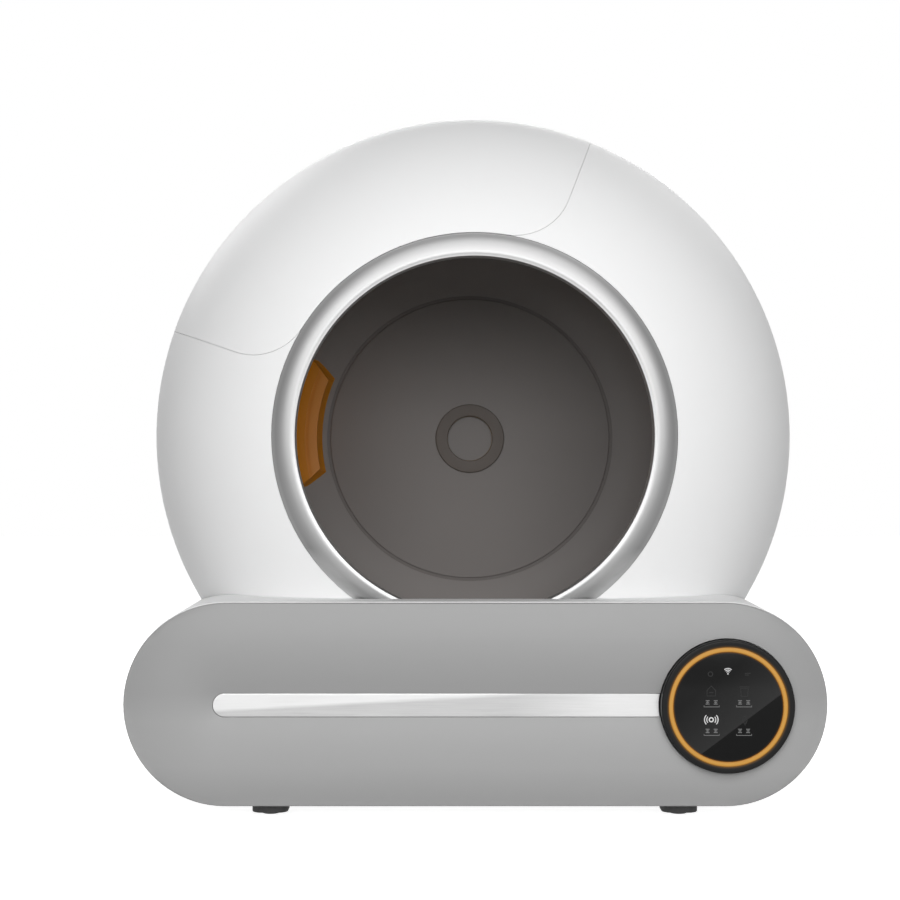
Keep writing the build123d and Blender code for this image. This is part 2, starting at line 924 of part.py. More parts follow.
def sieve_outline(inset):
    """Front view outline of the sieve, drawn in and narrower towards the middle of the drum."""
    lean = degrees(inset / sieve_shoulder_radius)
    half = sieve_half_angle - lean
    tip_half = sieve_tip_half_angle - lean
    inner = sieve_inner_radius + inset
    shoulder = sieve_shoulder_radius + inset
    outer = drum_radius + overrun
    middle = sieve_middle_angle
    first_tip = on_circle(inner, middle - tip_half)
    first_shoulder = on_circle(shoulder, middle - half)
    first_foot = on_circle(outer, middle - half)
    last_foot = on_circle(outer, middle + half)
    last_shoulder = on_circle(shoulder, middle + half)
    last_tip = on_circle(inner, middle + tip_half)
    outline = [
        Line(first_tip, first_shoulder),
        Line(first_shoulder, first_foot),
        ThreePointArc(first_foot, on_circle(outer, middle), last_foot),
        Line(last_foot, last_shoulder),
        Line(last_shoulder, last_tip),
        ThreePointArc(last_tip, on_circle(inner, middle), first_tip),
    ]
    return make_face(outline)


def sieve():
    """Slotted orange sieve that lifts off the drum's inner wall."""
    layer = drum_body(drum_wall) - drum_body(drum_wall + sieve_height)
    back = drum_rear_depth - drum_wall
    bevel_front = back - sieve_height
    foot = sieve_outline(0)
    top = sieve_outline(sieve_bevel)
    bevel = loft(
        [
            Pos(0, back, axis_height) * (Plane.XZ * foot).face(),
            Pos(0, bevel_front, axis_height) * (Plane.XZ * top).face(),
        ],
        ruled=True,
    )
    reach = about_axis(top, -sieve_front_depth, bevel_front) + bevel
    body = layer & reach
    hollow = drum_body(drum_wall) - drum_body(drum_wall + sieve_height - sieve_skin)
    inside = sieve_outline(sieve_bevel + sieve_skin)
    body -= hollow & about_axis(inside, -sieve_front_depth + sieve_skin, back)
    groove_outer = sieve_groove_radius + sieve_groove_width
    groove = tube(0, axis_height, groove_outer, sieve_groove_radius, 0, drum_rear_depth)
    body -= groove & drum_body(drum_wall + sieve_height - sieve_groove_depth)
    radius = drum_radius - drum_wall - sieve_height
    for column in range(slot_columns):
        angle = sieve_middle_angle + (column - (slot_columns - 1) / 2) * slot_column_angle
        for row in range(slot_rows):
            depth = -sieve_front_depth + (row + 1 / 2) * slot_pitch + slot_width
            body -= sieve_slot(angle, depth, radius)
    return body


def sieve_slot(angle, depth, radius):
    """One long hole through the sieve."""
    bar = Box(sieve_height, slot_length, slot_width)
    return Pos(0, depth, axis_height) * Rot(0, -angle, 0) * Pos(radius, 0, 0) * bar


# Gears


def tooth_half_angle(radius, pitch_radius, teeth):
    """Half the angle that one tooth takes at a radius, in degrees."""
    base_radius = pitch_radius * cos(radians(pressure_angle))
    lean = acos(min(base_radius / radius, 1))
    rest = tan(radians(pressure_angle)) - radians(pressure_angle)
    half = (pi * gear_module / 2 - gear_slack) / (2 * pitch_radius)
    return degrees(half + rest - (tan(lean) - lean))


def gear_outline(teeth):
    """Toothed outline with involute flanks, its first tooth on +X."""
    pitch_radius = gear_module * teeth / 2
    base_radius = pitch_radius * cos(radians(pressure_angle))
    root = pitch_radius - gear_module * 5 / 4
    tip = pitch_radius + gear_module
    start = max(root, base_radius)
    middle = (start + tip) / 2
    low = tooth_half_angle(start, pitch_radius, teeth)
    half = tooth_half_angle(middle, pitch_radius, teeth)
    high = tooth_half_angle(tip, pitch_radius, teeth)
    step = 360 / teeth
    edges = []
    for number in range(teeth):
        turn = number * step
        if base_radius > root:
            edges.append(Line(on_circle(root, turn - low), on_circle(start, turn - low)))
            edges.append(Line(on_circle(start, turn + low), on_circle(root, turn + low)))
        edges.append(
            ThreePointArc(
                on_circle(start, turn - low), on_circle(middle, turn - half), on_circle(tip, turn - high)
            )
        )
        edges.append(Line(on_circle(tip, turn - high), on_circle(tip, turn + high)))
        edges.append(
            ThreePointArc(
                on_circle(tip, turn + high), on_circle(middle, turn + half), on_circle(start, turn + low)
            )
        )
        edges.append(Line(on_circle(root, turn + low), on_circle(root, turn + step - low)))
    return make_face(edges)


def drum_gear():
    """Ring gear on the back of the drum."""
    inner = gear_radius - gear_web
    face = gear_outline(gear_teeth) - Circle(inner)
    gear = about_axis(face, drum_rear_depth, gear_back)
    x, z = on_circle((inner + gear_radius) / 2, magnet_angle)
    return gear - disc(x, axis_height + z, magnet_radius, gear_back - magnet_thickness, rear_limit)


def position_magnet():
    """Magnet in the ring gear that marks the resting place of the drum."""
    x, z = on_circle(gear_radius - gear_web / 2, magnet_angle)
    return disc(x, axis_height + z, magnet_radius, gear_back - magnet_thickness, gear_back)


def drive_pinion():
    """Small gear that turns the drum."""
    front = drum_rear_depth + pinion_setback
    face = gear_outline(pinion_teeth) - Circle(pinion_shaft_radius)
    return along_y(Pos(0, pinion_z) * face, front, front + pinion_width)


def pinion_shaft():
    """Shaft from the gearbox into the pinion."""
    front = drum_rear_depth + pinion_setback
    return disc(0, pinion_z, pinion_shaft_radius, front, front + pinion_shaft_length)


# Gear motor


def motor_bracket():
    """Bent plate that stands on the deck and carries the gearbox."""
    half = bracket_width / 2
    plate = block(-half, half, bracket_front, bracket_back, deck_top, pinion_z + bracket_rise)
    plate += block(
        -half, half, bracket_front, bracket_front + bracket_foot, deck_top, deck_top + bracket_thickness
    )
    return plate - disc(0, pinion_z, bracket_hole, bracket_front - overrun, bracket_back + overrun)


def worm_gearbox():
    """Worm gearbox behind the bracket with the bore for the pinion's shaft."""
    half = gearbox_width / 2
    rear = bracket_back + gearbox_depth
    case = block(-half, half, bracket_back, rear, pinion_z - gearbox_drop, pinion_z + gearbox_rise)
    case = fillet(case.edges().filter_by(Axis.Y), motor_neck_length)
    bore = pinion_shaft_radius + running_clearance
    return case - disc(0, pinion_z, bore, bracket_back - overrun, rear - base_wall)


def drive_motor():
    """Round motor that lies beside the gearbox."""
    z = pinion_z - motor_drop
    y = bracket_back + gearbox_depth / 2
    start = gearbox_width / 2
    lay = Rot(0, 90, 0)
    low = (Align.CENTER, Align.CENTER, Align.MIN)
    neck = Pos(start, y, z) * lay * Cylinder(motor_neck_radius, motor_neck_length, align=low)
    can = Cylinder(motor_radius, motor_length, align=low)
    can = fillet(can.edges().filter_by(GeomType.CIRCLE), base_edge_round)
    return neck + Pos(start + motor_neck_length, y, z) * lay * can


def position_sensor():
    """Small board that reads the magnet of the ring gear."""
    x, z = on_circle(gear_radius - gear_web / 2, magnet_angle)
    middle = axis_height + z
    half_width = sensor_board_width / 2
    half_height = sensor_board_height / 2
    rear = globe_inner_rear
    front = rear - sensor_board_thickness
    board = block(
        x - half_width, x + half_width, front, rear, middle - half_height, middle + half_height
    )
    half_chip = sensor_chip_width / 2
    chip_front = front - sensor_chip_height
    return board + block(
        x - half_chip, x + half_chip, chip_front, front, middle - half_chip, middle + half_chip
    )


# Electronics and the back of the base


def board_corners():
    """Places of the board's standoffs in the back view."""
    across = board_width / 2 - standoff_inset
    up = board_height / 2 - standoff_inset
    return [(board_x + x, board_z + z) for x in (-across, across) for z in (-up, up)]


def main_board():
    """Control board with its larger components."""
    rear = inner_rear - standoff_height
    front = rear - board_thickness
    left = board_x - board_width / 2
    right = board_x + board_width / 2
    low = board_z - board_height / 2
    high = board_z + board_height / 2
    board = block(left, right, front, rear, low, high)
    for share in (1 / 4, 1 / 2):
        x = left + board_width * share
        half = chip_width / 2
        board += block(x - half, x + half, front - chip_height, front, board_z - half, board_z + half)
    x = left + board_width * 3 / 4
    half = relay_width / 2
    return board + block(x - half, x + half, front - relay_height, front, board_z - half, board_z + half)


def board_standoffs():
    """Pillars between the board and the rear wall."""
    front = inner_rear - standoff_height
    return [disc(x, z, standoff_radius, front, inner_rear) for x, z in board_corners()]


def power_inlet():
    """Round low voltage socket in the rear wall."""
    rear = base_rear + inlet_flange_thickness
    body = disc(inlet_x, inlet_z, inlet_radius, rear - inlet_length, rear)
    body += disc(inlet_x, inlet_z, inlet_flange_radius, base_rear, rear)
    body -= disc(inlet_x, inlet_z, inlet_socket_radius, rear - inlet_socket_depth, rear + overrun)
    pin_rear = rear - inlet_flange_thickness
    return body + disc(inlet_x, inlet_z, inlet_pin_radius, rear - inlet_length, pin_rear)


def power_button():
    """Push button that travels into the rear wall."""
    rear = base_rear + button_stand
    cap = disc(button_x, inlet_z, button_radius, rear - button_length, rear)
    rims = cap.edges().filter_by_position(Axis.Y, rear, rear)
    cap = fillet(rims, base_edge_round)
    end = inner_rear - button_gap
    return cap + disc(button_x, inlet_z, button_flange_radius, end - button_flange_thickness, end)


def button_body():
    """Cup behind the rear wall that guides the button."""
    front = inner_rear - button_body_length - button_body_wall
    cup = disc(button_x, inlet_z, button_body_radius, front, inner_rear)
    hollow = button_flange_radius + button_gap
    return cup - disc(button_x, inlet_z, hollow, front + button_body_wall, inner_rear + overrun)


def service_cover():
    """Plate over the motor opening in the rear wall."""
    outline = Pos(0, service_height) * RectangleRounded(cover_width, cover_height, cover_corner)
    plate = along_y(outline, base_rear, cover_back)
    for x, z in cover_screw_places():
        plate -= screw_hole(x, z, cover_back, screw_length)
    return plate


def cover_screws():
    """Screws of the service cover."""
    return [screw_to_front(x, z, cover_back) for x, z in cover_screw_places()]


# Drawer


def drawer_tray():
    """Waste tray with sliding ribs along both sides."""
    length = tray_length
    middle = tray_front + tray_length / 2
    height = tray_top - tray_bottom
    outer = Pos(0, middle, tray_bottom) * extrude(
        RectangleRounded(tray_width, length, tray_corner), amount=height
    )
    inner_sketch = RectangleRounded(
        tray_width - 2 * tray_wall, length - 2 * tray_wall, tray_corner - tray_wall
    )
    tray = outer - Pos(0, middle, tray_bottom + tray_wall) * extrude(inner_sketch, amount=height)
    for side in (-1, 1):
        near = tray_half - tray_wall / 2
        rib = block(
            near,
            tray_half + tray_rib_width,
            tray_front + tray_corner,
            tray_rear - tray_corner,
            rib_bottom,
            rib_bottom + tray_rib_height,
        )
        tray += rib if side > 0 else mirror(rib, about=Plane.YZ)
    return tray


def fascia_section(drop, inset, groove):
    """Half section of the fascia by radius and depth, dropped back and drawn in."""
    rim = end_radius - fascia_inset - inset
    rim_front = fascia_crest + rim_drop + drop
    crest_radius = rim * crest_share
    valley = strip_height / 2 + strip_gap + inset
    floor = strip_bed + drop if groove else fascia_valley + drop
    swing = rim_round * sin(pi / 4)
    corner = (rim, rim_front + rim_round)
    corner_mid = (rim - rim_round + swing, rim_front + rim_round - swing)
    corner_end = (rim - rim_round, rim_front)
    outline = [
        Line((0, floor), (0, fascia_back)),
        Line((0, fascia_back), (rim, fascia_back)),
        Line((rim, fascia_back), corner),
        ThreePointArc(corner, corner_mid, corner_end),
        ThreePointArc(corner_end, (crest_radius, fascia_crest + drop), (valley, fascia_valley + drop)),
        Line((valley, fascia_valley + drop), (valley, floor)),
        Line((valley, floor), (0, floor)),
    ]
    return make_face(outline)


def fascia_body(drop, inset):
    """Pillowed racetrack body: a straight middle between two turned ends."""
    section = fascia_section(drop, inset, True)
    upper = Plane(origin=(end_x, 0, base_middle), x_dir=(0, 0, 1), z_dir=(-1, 0, 0))
    lower = Plane(origin=(-end_x, 0, base_middle), x_dir=(0, 0, -1), z_dir=(1, 0, 0))
    body = extrude(upper * section, amount=2 * end_x) + extrude(lower * section, amount=2 * end_x)
    half_turn = revolve(section, Axis.Y, revolution_arc=180)
    body += Pos(-end_x, 0, base_middle) * Rot(0, 90, 0) * half_turn
    return body + Pos(end_x, 0, base_middle) * Rot(0, -90, 0) * half_turn


def pod_hole():
    """Round hole through the drawer front for the fixed control pod."""
    return disc(end_x, base_middle, pod_radius + pod_hole_gap, front_limit, base_front)


def drawer_front():
    """Grey pillowed front that covers the whole face of the base."""
    return fascia_body(0, 0) - fascia_body(fascia_skin, fascia_skin) - pod_hole()


def drawer_carrier():
    """Flat plate behind the pillowed front that holds the tray."""
    width = overall_width - 2 * carrier_inset
    height = base_height - 2 * carrier_inset
    plate = stadium(width, height, carrier_front, fascia_back)
    rim = pod_radius + pod_hole_gap
    return plate - disc(end_x, base_middle, rim, front_limit, base_front)


def drawer_strip():
    """Brushed metal strip in the valley of the front."""
    length = end_x + end_x - pod_radius - pod_hole_gap - strip_gap
    half = strip_height / 2
    face = strip_bed - strip_thickness
    low = base_middle - half
    high = base_middle + half
    bar = block(-end_x, -end_x + length, face, strip_bed, low, high)
    bar += disc(-end_x, base_middle, half, face, strip_bed)
    return bar - pod_hole()


def bag_ring():
    """Frame inside the tray that clamps the edge of the waste bag."""
    length = tray_length - 2 * (tray_wall + bag_ring_inset)
    width = tray_width - 2 * (tray_wall + bag_ring_inset)
    middle = tray_front + tray_length / 2
    corner = tray_corner - tray_wall - bag_ring_inset
    outer = RectangleRounded(width, length, corner)
    inner_corner = corner - bag_ring_width / 2
    inner = RectangleRounded(width - 2 * bag_ring_width, length - 2 * bag_ring_width, inner_corner)
    top = tray_top - bag_ring_thickness
    ring = Pos(0, middle, top - bag_ring_thickness) * extrude(outer - inner, amount=bag_ring_thickness)
    reach_x = width / 2 - corner - bag_post_width
    reach_y = length / 2 - bag_ring_width
    for x in (-reach_x, reach_x):
        for y in (middle - reach_y, middle + reach_y - bag_ring_width / 2):
            ring += block(
                x, x + bag_post_width, y, y + bag_ring_width / 2, tray_bottom + tray_wall, top
            )
    return ring


# Control pod


def pod_case():
    """Round black case fixed to the front wall."""
    outer = disc(end_x, base_middle, pod_radius, pod_front, base_front)
    rims = outer.edges().filter_by_position(Axis.Y, pod_front, pod_front)
    outer = fillet(rims, pod_edge_round)
    shelf = pod_front + light_sink + light_depth
    shelf_back = shelf + pod_shelf_thickness
    case = outer - disc(end_x, base_middle, light_outer, pod_front - overrun, shelf)
    case -= disc(end_x, base_middle, pod_shelf_inner, pod_front - overrun, shelf_back)
    return case - disc(end_x, base_middle, pod_radius - pod_wall, shelf_back, base_front - pod_wall)


def pod_light_ring():
    """Amber light guide round the glass."""
    front = pod_front + light_sink
    return tube(end_x, base_middle, light_outer, light_inner, front, front + light_depth)


def pod_glass():
    """Black touch glass."""
    front = pod_front + glass_sink
    rear = pod_front + light_sink + light_depth
    plate = disc(end_x, base_middle, light_inner - glass_gap, front, front + glass_thickness)
    lip = tube(end_x, base_middle, light_inner - glass_gap, pod_shelf_inner, front, rear)
    return plate + lip


def pod_circuit_board():
    """Round board with its lamps behind the glass."""
    shelf_back = pod_front + light_sink + light_depth + pod_shelf_thickness
    front = shelf_back + pod_board_gap
    board = disc(end_x, base_middle, pod_board_radius, front, front + pod_board_thickness)
    for number in range(pod_lamps):
        x, z = on_circle(pod_lamp_circle, number * 360 / pod_lamps)
        half = pod_lamp_width / 2
        low = base_middle + z - half
        high = base_middle + z + half
        left = end_x + x - half
        board += block(left, end_x + x + half, front - pod_lamp_height, front, low, high)
    return board


def pod_board_posts():
    """Posts between the board and the back of the case."""
    shelf_back = pod_front + light_sink + light_depth + pod_shelf_thickness
    front = shelf_back + pod_board_gap + pod_board_thickness
    posts = []
    for angle in (90, 210, 330):
        x, z = on_circle(pod_post_circle, angle)
        posts.append(disc(end_x + x, base_middle + z, pod_post_radius, front, base_front - pod_wall))
    return posts


nodes = {
    "base_housing": base_housing,
    "base_floor": base_floor,
    "rubber_feet": rubber_feet,
    "load_cells": load_cells,
    "drawer_runner_left": lambda: drawer_runner(-1),
    "drawer_runner_right": lambda: drawer_runner(1),
    "cradle_deck": cradle_deck,
    "roller_pins": roller_pins,
    "roller_hub_left": lambda: roller_hub(-1),
    "roller_hub_right": lambda: roller_hub(1),
    "roller_tyre_left": lambda: roller_tyre(-1),
    "roller_tyre_right": lambda: roller_tyre(1),
    "globe_front_shell": globe_front_shell,
    "globe_rear_shell": globe_rear_shell,
    "globe_hatch": globe_hatch,
    "hatch_frame": hatch_frame,
    "frame_magnets": frame_magnets,
    "entry_ring": entry_ring,
    "entry_seal": entry_seal,
    "rear_axle": rear_axle,
    "axle_screws": axle_screws,
    "drum_front_shell": drum_front_shell,
    "drum_rear_shell": drum_rear_shell,
    "drum_back_disc": drum_back_disc,
    "hub_bush": hub_bush,
    "hub_ring": hub_ring,
    "drum_track": drum_track,
    "port_frame": port_frame,
    "sieve": sieve,
    "drum_gear": drum_gear,
    "position_magnet": position_magnet,
    "drive_pinion": drive_pinion,
    "pinion_shaft": pinion_shaft,
    "motor_bracket": motor_bracket,
    "worm_gearbox": worm_gearbox,
    "drive_motor": drive_motor,
    "position_sensor": position_sensor,
    "main_board": main_board,
    "board_standoffs": board_standoffs,
    "power_inlet": power_inlet,
    "power_button": power_button,
    "button_body": button_body,
    "service_cover": service_cover,
    "cover_screws": cover_screws,
    "drawer_tray": drawer_tray,
    "bag_ring": bag_ring,
    "drawer_front": drawer_front,
    "drawer_carrier": drawer_carrier,
    "drawer_strip": drawer_strip,
    "pod_case": pod_case,
    "pod_light_ring": pod_light_ring,
    "pod_glass": pod_glass,
    "pod_circuit_board": pod_circuit_board,
    "pod_board_posts": pod_board_posts,
}

os.makedirs("parts", exist_ok=True)
for name, make in nodes.items():
    made = make()
    solids = made if isinstance(made, list) else [made]
    bodies = [solid for item in solids for solid in item.solids()]
    shape = bodies[0] if len(bodies) == 1 else Compound(children=bodies)
    shape.label = name
    export_step(shape, f"parts/{name}.step")
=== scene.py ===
import math

import bmesh
import bpy
from mathutils import Matrix, Vector


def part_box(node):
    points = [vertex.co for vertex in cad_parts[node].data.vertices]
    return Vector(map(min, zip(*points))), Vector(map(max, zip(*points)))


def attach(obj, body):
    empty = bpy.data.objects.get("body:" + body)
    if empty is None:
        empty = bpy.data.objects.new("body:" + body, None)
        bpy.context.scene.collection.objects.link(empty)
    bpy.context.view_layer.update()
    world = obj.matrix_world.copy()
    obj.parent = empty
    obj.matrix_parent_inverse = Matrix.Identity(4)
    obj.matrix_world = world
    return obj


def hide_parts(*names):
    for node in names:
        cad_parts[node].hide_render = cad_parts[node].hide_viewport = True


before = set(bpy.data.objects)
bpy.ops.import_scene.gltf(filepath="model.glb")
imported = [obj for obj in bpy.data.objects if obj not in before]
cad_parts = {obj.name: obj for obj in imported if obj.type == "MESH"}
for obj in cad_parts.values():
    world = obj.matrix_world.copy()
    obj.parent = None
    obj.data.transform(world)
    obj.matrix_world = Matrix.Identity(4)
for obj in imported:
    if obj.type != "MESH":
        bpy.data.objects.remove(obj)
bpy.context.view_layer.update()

# Camera
# It stands level in front of the entry, a little to the left of the middle and about as high as the
# entry's middle, so the globe, the ring and the drum shrink one behind the other.
camera_data = bpy.data.cameras.new("front_camera")
camera_data.sensor_width = 36.0
camera_data.lens = 75.5
camera = bpy.data.objects.new("front_camera", camera_data)
camera.location = (-0.0215, -1.85, 0.316)
camera.rotation_euler = (math.radians(90), 0, 0)
bpy.context.scene.collection.objects.link(camera)
bpy.context.scene.camera = camera


# Floor and room
# A pale studio floor that fades into a plain white room, which metal and glass also mirror. The box
# stands on the floor and shades it softly.
class Wire:
    """A socket of a finish that takes part in sums."""

    def __init__(self, finish, socket):
        self.finish = finish
        self.socket = socket

    def combine(self, operation, *terms):
        return self.finish.add("ShaderNodeMath", {"operation": operation}, dict(enumerate(terms)))

    def __add__(self, other):
        return self.combine("ADD", self, other)

    def __sub__(self, other):
        return self.combine("SUBTRACT", self, other)

    def __rsub__(self, other):
        return self.combine("SUBTRACT", other, self)

    def __mul__(self, other):
        return self.combine("MULTIPLY", self, other)

    def __truediv__(self, other):
        return self.combine("DIVIDE", self, other)

    def __pow__(self, other):
        return self.combine("POWER", self, other)

    def __abs__(self):
        return self.combine("ABSOLUTE", self)

    __radd__ = __add__
    __rmul__ = __mul__


class Finish:
    """A node tree for one surface; its parts are added one by one."""

    def __init__(self, name, tree=None):
        if tree is None:
            self.material = bpy.data.materials.new(name)
            self.material.use_nodes = True
            tree = self.material.node_tree
        self.tree = tree
        self.tree.nodes.clear()

    def add(self, kind, settings, sockets, output=0):
        """Adds a node with its settings and its socket values or links, and gives one output."""
        node = self.tree.nodes.new(kind)
        for name, value in settings.items():
            if name == "stops":
                ramp = node.color_ramp
                while len(ramp.elements) < len(value):
                    ramp.elements.new(0.5)
                for element, (place, colour) in zip(ramp.elements, value):
                    element.position = place
                    element.color = colour
            else:
                setattr(node, name, value)
        for name, value in sockets.items():
            if isinstance(value, Wire):
                self.tree.links.new(value.socket, node.inputs[name])
            else:
                node.inputs[name].default_value = value
        return Wire(self, node.outputs[output]) if node.outputs else None

    def place(self, move=(0, 0, 0), scale=(1, 1, 1)):
        """Object coordinates, scaled and moved."""
        coordinates = self.add("ShaderNodeTexCoord", {}, {}, "Object")
        return self.add("ShaderNodeMapping", {}, {"Vector": coordinates, "Location": move, "Scale": scale})

    def axis(self, place, letter):
        """One coordinate of a place."""
        return self.add("ShaderNodeSeparateXYZ", {}, {"Vector": place}, letter)

    def radius(self, place):
        """Distance from the Y axis."""
        across = self.axis(place, "X")
        up = self.axis(place, "Z")
        return (across * across + up * up) ** 0.5

    def noise(self, place, scale, detail=3.0, roughness=0.55):
        """Soft noise around a half."""
        values = {"Vector": place, "Scale": scale, "Detail": detail, "Roughness": roughness}
        return self.add("ShaderNodeTexNoise", {}, values, "Fac")

    def spread(self, value, low, high, new_low, new_high):
        """Carries a value from one range to another and holds it there."""
        values = {"Value": value, "From Min": low, "From Max": high, "To Min": new_low, "To Max": new_high}
        return self.add("ShaderNodeMapRange", {"clamp": True}, values)

    def rough(self, grain, smooth, matt):
        """Roughness between two values, over the range in which most of a noise lies."""
        return self.spread(grain, 0.3, 0.7, smooth, matt)

    def blend(self, share, first, second):
        """Colour between two colours."""
        return self.add("ShaderNodeMix", {"data_type": "RGBA"}, {0: share, 6: first, 7: second}, 2)

    def ramp(self, share, stops):
        """Colour from a row of stops."""
        return self.add("ShaderNodeValToRGB", {"stops": stops}, {"Fac": share})

    def relief(self, height, strength, distance):
        """Small relief for the normal."""
        return self.add("ShaderNodeBump", {}, {"Strength": strength, "Distance": distance, "Height": height})

    def close(self, sockets):
        """Ends the tree with the surface shader."""
        surface = self.add("ShaderNodeBsdfPrincipled", {}, sockets)
        self.add("ShaderNodeOutputMaterial", {}, {"Surface": surface})
        return self.material


def tone(red, green, blue):
    """Colour with full alpha."""
    return (red, green, blue, 1.0)


def grey(value):
    """Neutral colour."""
    return tone(value, value, value)


def seen_rays(finish):
    """1 where the camera, a mirror or a pane looks at the surface, and 0 for light on the object."""
    rays = [
        finish.add("ShaderNodeLightPath", {}, {}, name)
        for name in ("Is Camera Ray", "Is Glossy Ray", "Is Transmission Ray")
    ]
    return rays[0] + rays[1] + rays[2]


floor_finish = Finish("studio_floor")
paint = {"Base Color": grey(0.5), "Roughness": 0.9}
shine = {"Emission Color": grey(1.0), "Emission Strength": 0.92}
matt = floor_finish.add("ShaderNodeBsdfPrincipled", {}, paint)
lit = floor_finish.add("ShaderNodeBsdfPrincipled", {}, {**paint, **shine})
whole = floor_finish.add("ShaderNodeMixShader", {}, {0: seen_rays(floor_finish), 1: matt, 2: lit})
floor_finish.add("ShaderNodeOutputMaterial", {}, {"Surface": whole})
floor_mesh = bpy.data.meshes.new("studio_floor")
floor_half = 5.0
shape = bmesh.new()
bmesh.ops.create_grid(shape, x_segments=1, y_segments=1, size=floor_half)
shape.to_mesh(floor_mesh)
shape.free()
floor_mesh.materials.append(floor_finish.material)
studio_floor = bpy.data.objects.new("studio_floor", floor_mesh)
bpy.context.scene.collection.objects.link(studio_floor)

room = bpy.data.worlds.new("room")
room.use_nodes = True
bpy.context.scene.world = room
walls = Finish("room", room.node_tree)
dim = walls.add("ShaderNodeBackground", {}, {"Color": grey(1.0), "Strength": 0.11})
bright = walls.add("ShaderNodeBackground", {}, {"Color": grey(1.0), "Strength": 1.0})
around = walls.add("ShaderNodeMixShader", {}, {0: seen_rays(walls), 1: dim, 2: bright})
walls.add("ShaderNodeOutputWorld", {}, {"Surface": around})
bpy.context.scene.view_settings.view_transform = "Standard"


# Lamps
# Two wide soft boxes in front, one above the other, from the height of the entry upwards, shine into
# the drum. Three behind keep the back and the upper rim of the globe pale.
def soft_box(name, place, target, width, height, power):
    """Flat lamp that faces a target."""
    data = bpy.data.lights.new(name, "AREA")
    data.shape = "RECTANGLE"
    data.size = width
    data.size_y = height
    data.energy = power
    lamp = bpy.data.objects.new(name, data)
    lamp.location = place
    lamp.rotation_euler = (Vector(target) - Vector(place)).to_track_quat("-Z", "Y").to_euler()
    bpy.context.scene.collection.objects.link(lamp)


soft_box("low_box", (0.04, -2.7, 0.85), (0, 0, 0.35), 2.6, 0.9, 38)
soft_box("high_box", (0.2, -2.5, 1.95), (0, 0, 0.4), 2.4, 1.0, 28)
soft_box("rear_left_box", (-1.4, 1.5, 1.7), (0, 0, 0.35), 1.2, 1.2, 13)
soft_box("rear_right_box", (1.3, 1.6, 1.8), (0, 0, 0.35), 1.2, 1.2, 6)
soft_box("rear_middle_box", (0, 2.7, 1.5), (0, 0, 0.35), 1.8, 1.2, 17)


# Feet
# Four dark grey rubber blocks, each moulded in one piece with a smaller round sole, and pressed over
# the load cells under the base.
def lathe(points, middle, turns, letter="Y"):
    """Turns an outline of (radius, place along the axis) once round an axis through the middle."""
    same_place = 0.000002
    shape = bmesh.new()
    corners = []
    for radius, along in points:
        place = Vector((radius, along, 0)) if letter == "Y" else Vector((radius, 0, along))
        corners.append(shape.verts.new(Vector(middle) + place))
    edges = [shape.edges.new(pair) for pair in zip(corners, corners[1:])]
    axis = (0, 1, 0) if letter == "Y" else (0, 0, 1)
    bmesh.ops.spin(
        shape, geom=corners + edges, cent=middle, axis=axis, angle=math.tau, steps=turns, use_merge=True
    )
    bmesh.ops.remove_doubles(shape, verts=shape.verts, dist=same_place)
    bmesh.ops.recalc_face_normals(shape, faces=shape.faces)
    return shape


def soften(shape, edge_angle=30.0):
    """Smooth shading, but for edges sharper than the angle."""
    for face in shape.faces:
        face.smooth = True
    for edge in shape.edges:
        edge.smooth = len(edge.link_faces) == 2 and edge.calc_face_angle(0.0) < math.radians(edge_angle)


def block(shape, middle, size):
    """Adds a block of a width, depth and height round its middle."""
    matrix = Matrix.Translation(middle) @ Matrix.Diagonal((*size, 1.0))
    bmesh.ops.create_cube(shape, size=1.0, matrix=matrix)


def round_off(shape, edges, radius, steps, clamp=False):
    """Rounds some edges of a shape."""
    bmesh.ops.bevel(
        shape,
        geom=edges,
        offset=radius,
        segments=steps,
        profile=0.5,
        affect="EDGES",
        material=-1,
        clamp_overlap=clamp,
    )


def join(shape, other):
    """Adds one shape to another and lets it go."""
    spare = bpy.data.meshes.new("spare")
    other.to_mesh(spare)
    other.free()
    shape.from_mesh(spare)
    bpy.data.meshes.remove(spare)


def keep(name, shape, body, material, *nodes):
    """Turns a finished shape into a piece that rides on a body and stands for its nodes."""
    mesh = bpy.data.meshes.new(name)
    shape.to_mesh(mesh)
    shape.free()
    mesh.materials.append(material)
    piece = bpy.data.objects.new(name, mesh)
    bpy.context.scene.collection.objects.link(piece)
    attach(piece, body)
    if nodes:
        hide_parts(*nodes)
    return piece


rubber = Finish("foot_rubber")
at = rubber.place()
grain = rubber.noise(at, 1100.0, 4.0)
dust = rubber.noise(at, 60.0)
rubber.close(
    {
        "Base Color": rubber.blend(dust, grey(0.055), grey(0.085)),
        "Roughness": rubber.rough(grain, 0.6, 0.85),
        "Normal": rubber.relief(grain, 0.3, 0.0003),
    }
)
foot_low, foot_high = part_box("rubber_feet")
foot_half = 0.0156
foot_rounding = 0.009
foot_edge = 0.0009
foot_under = 0.0024
sole_radius = 0.0080
sole_top = 0.0030
sole_outline = [(0.0, 0.0), (0.0072, 0.0), (0.0078, 0.0006), (sole_radius, sole_top), (0.0, sole_top)]
level = 0.0001
feet = bmesh.new()
for x in (foot_low.x + foot_half, foot_high.x - foot_half):
    for y in (foot_low.y + foot_half, foot_high.y - foot_half):
        pad = bmesh.new()
        middle = (x, y, (foot_high.z + foot_under) / 2)
        block(pad, middle, (2 * foot_half, 2 * foot_half, foot_high.z - foot_under))
        upright = [edge for edge in pad.edges if abs(edge.verts[0].co.z - edge.verts[1].co.z) > level]
        round_off(pad, upright, foot_rounding, 8)
        under = [edge for edge in pad.edges if all(vert.co.z < foot_under + level for vert in edge.verts)]
        round_off(pad, under, foot_edge, 3)
        join(feet, pad)
        join(feet, lathe(sole_outline, (x, y, 0), 48, "Z"))
soften(feet)
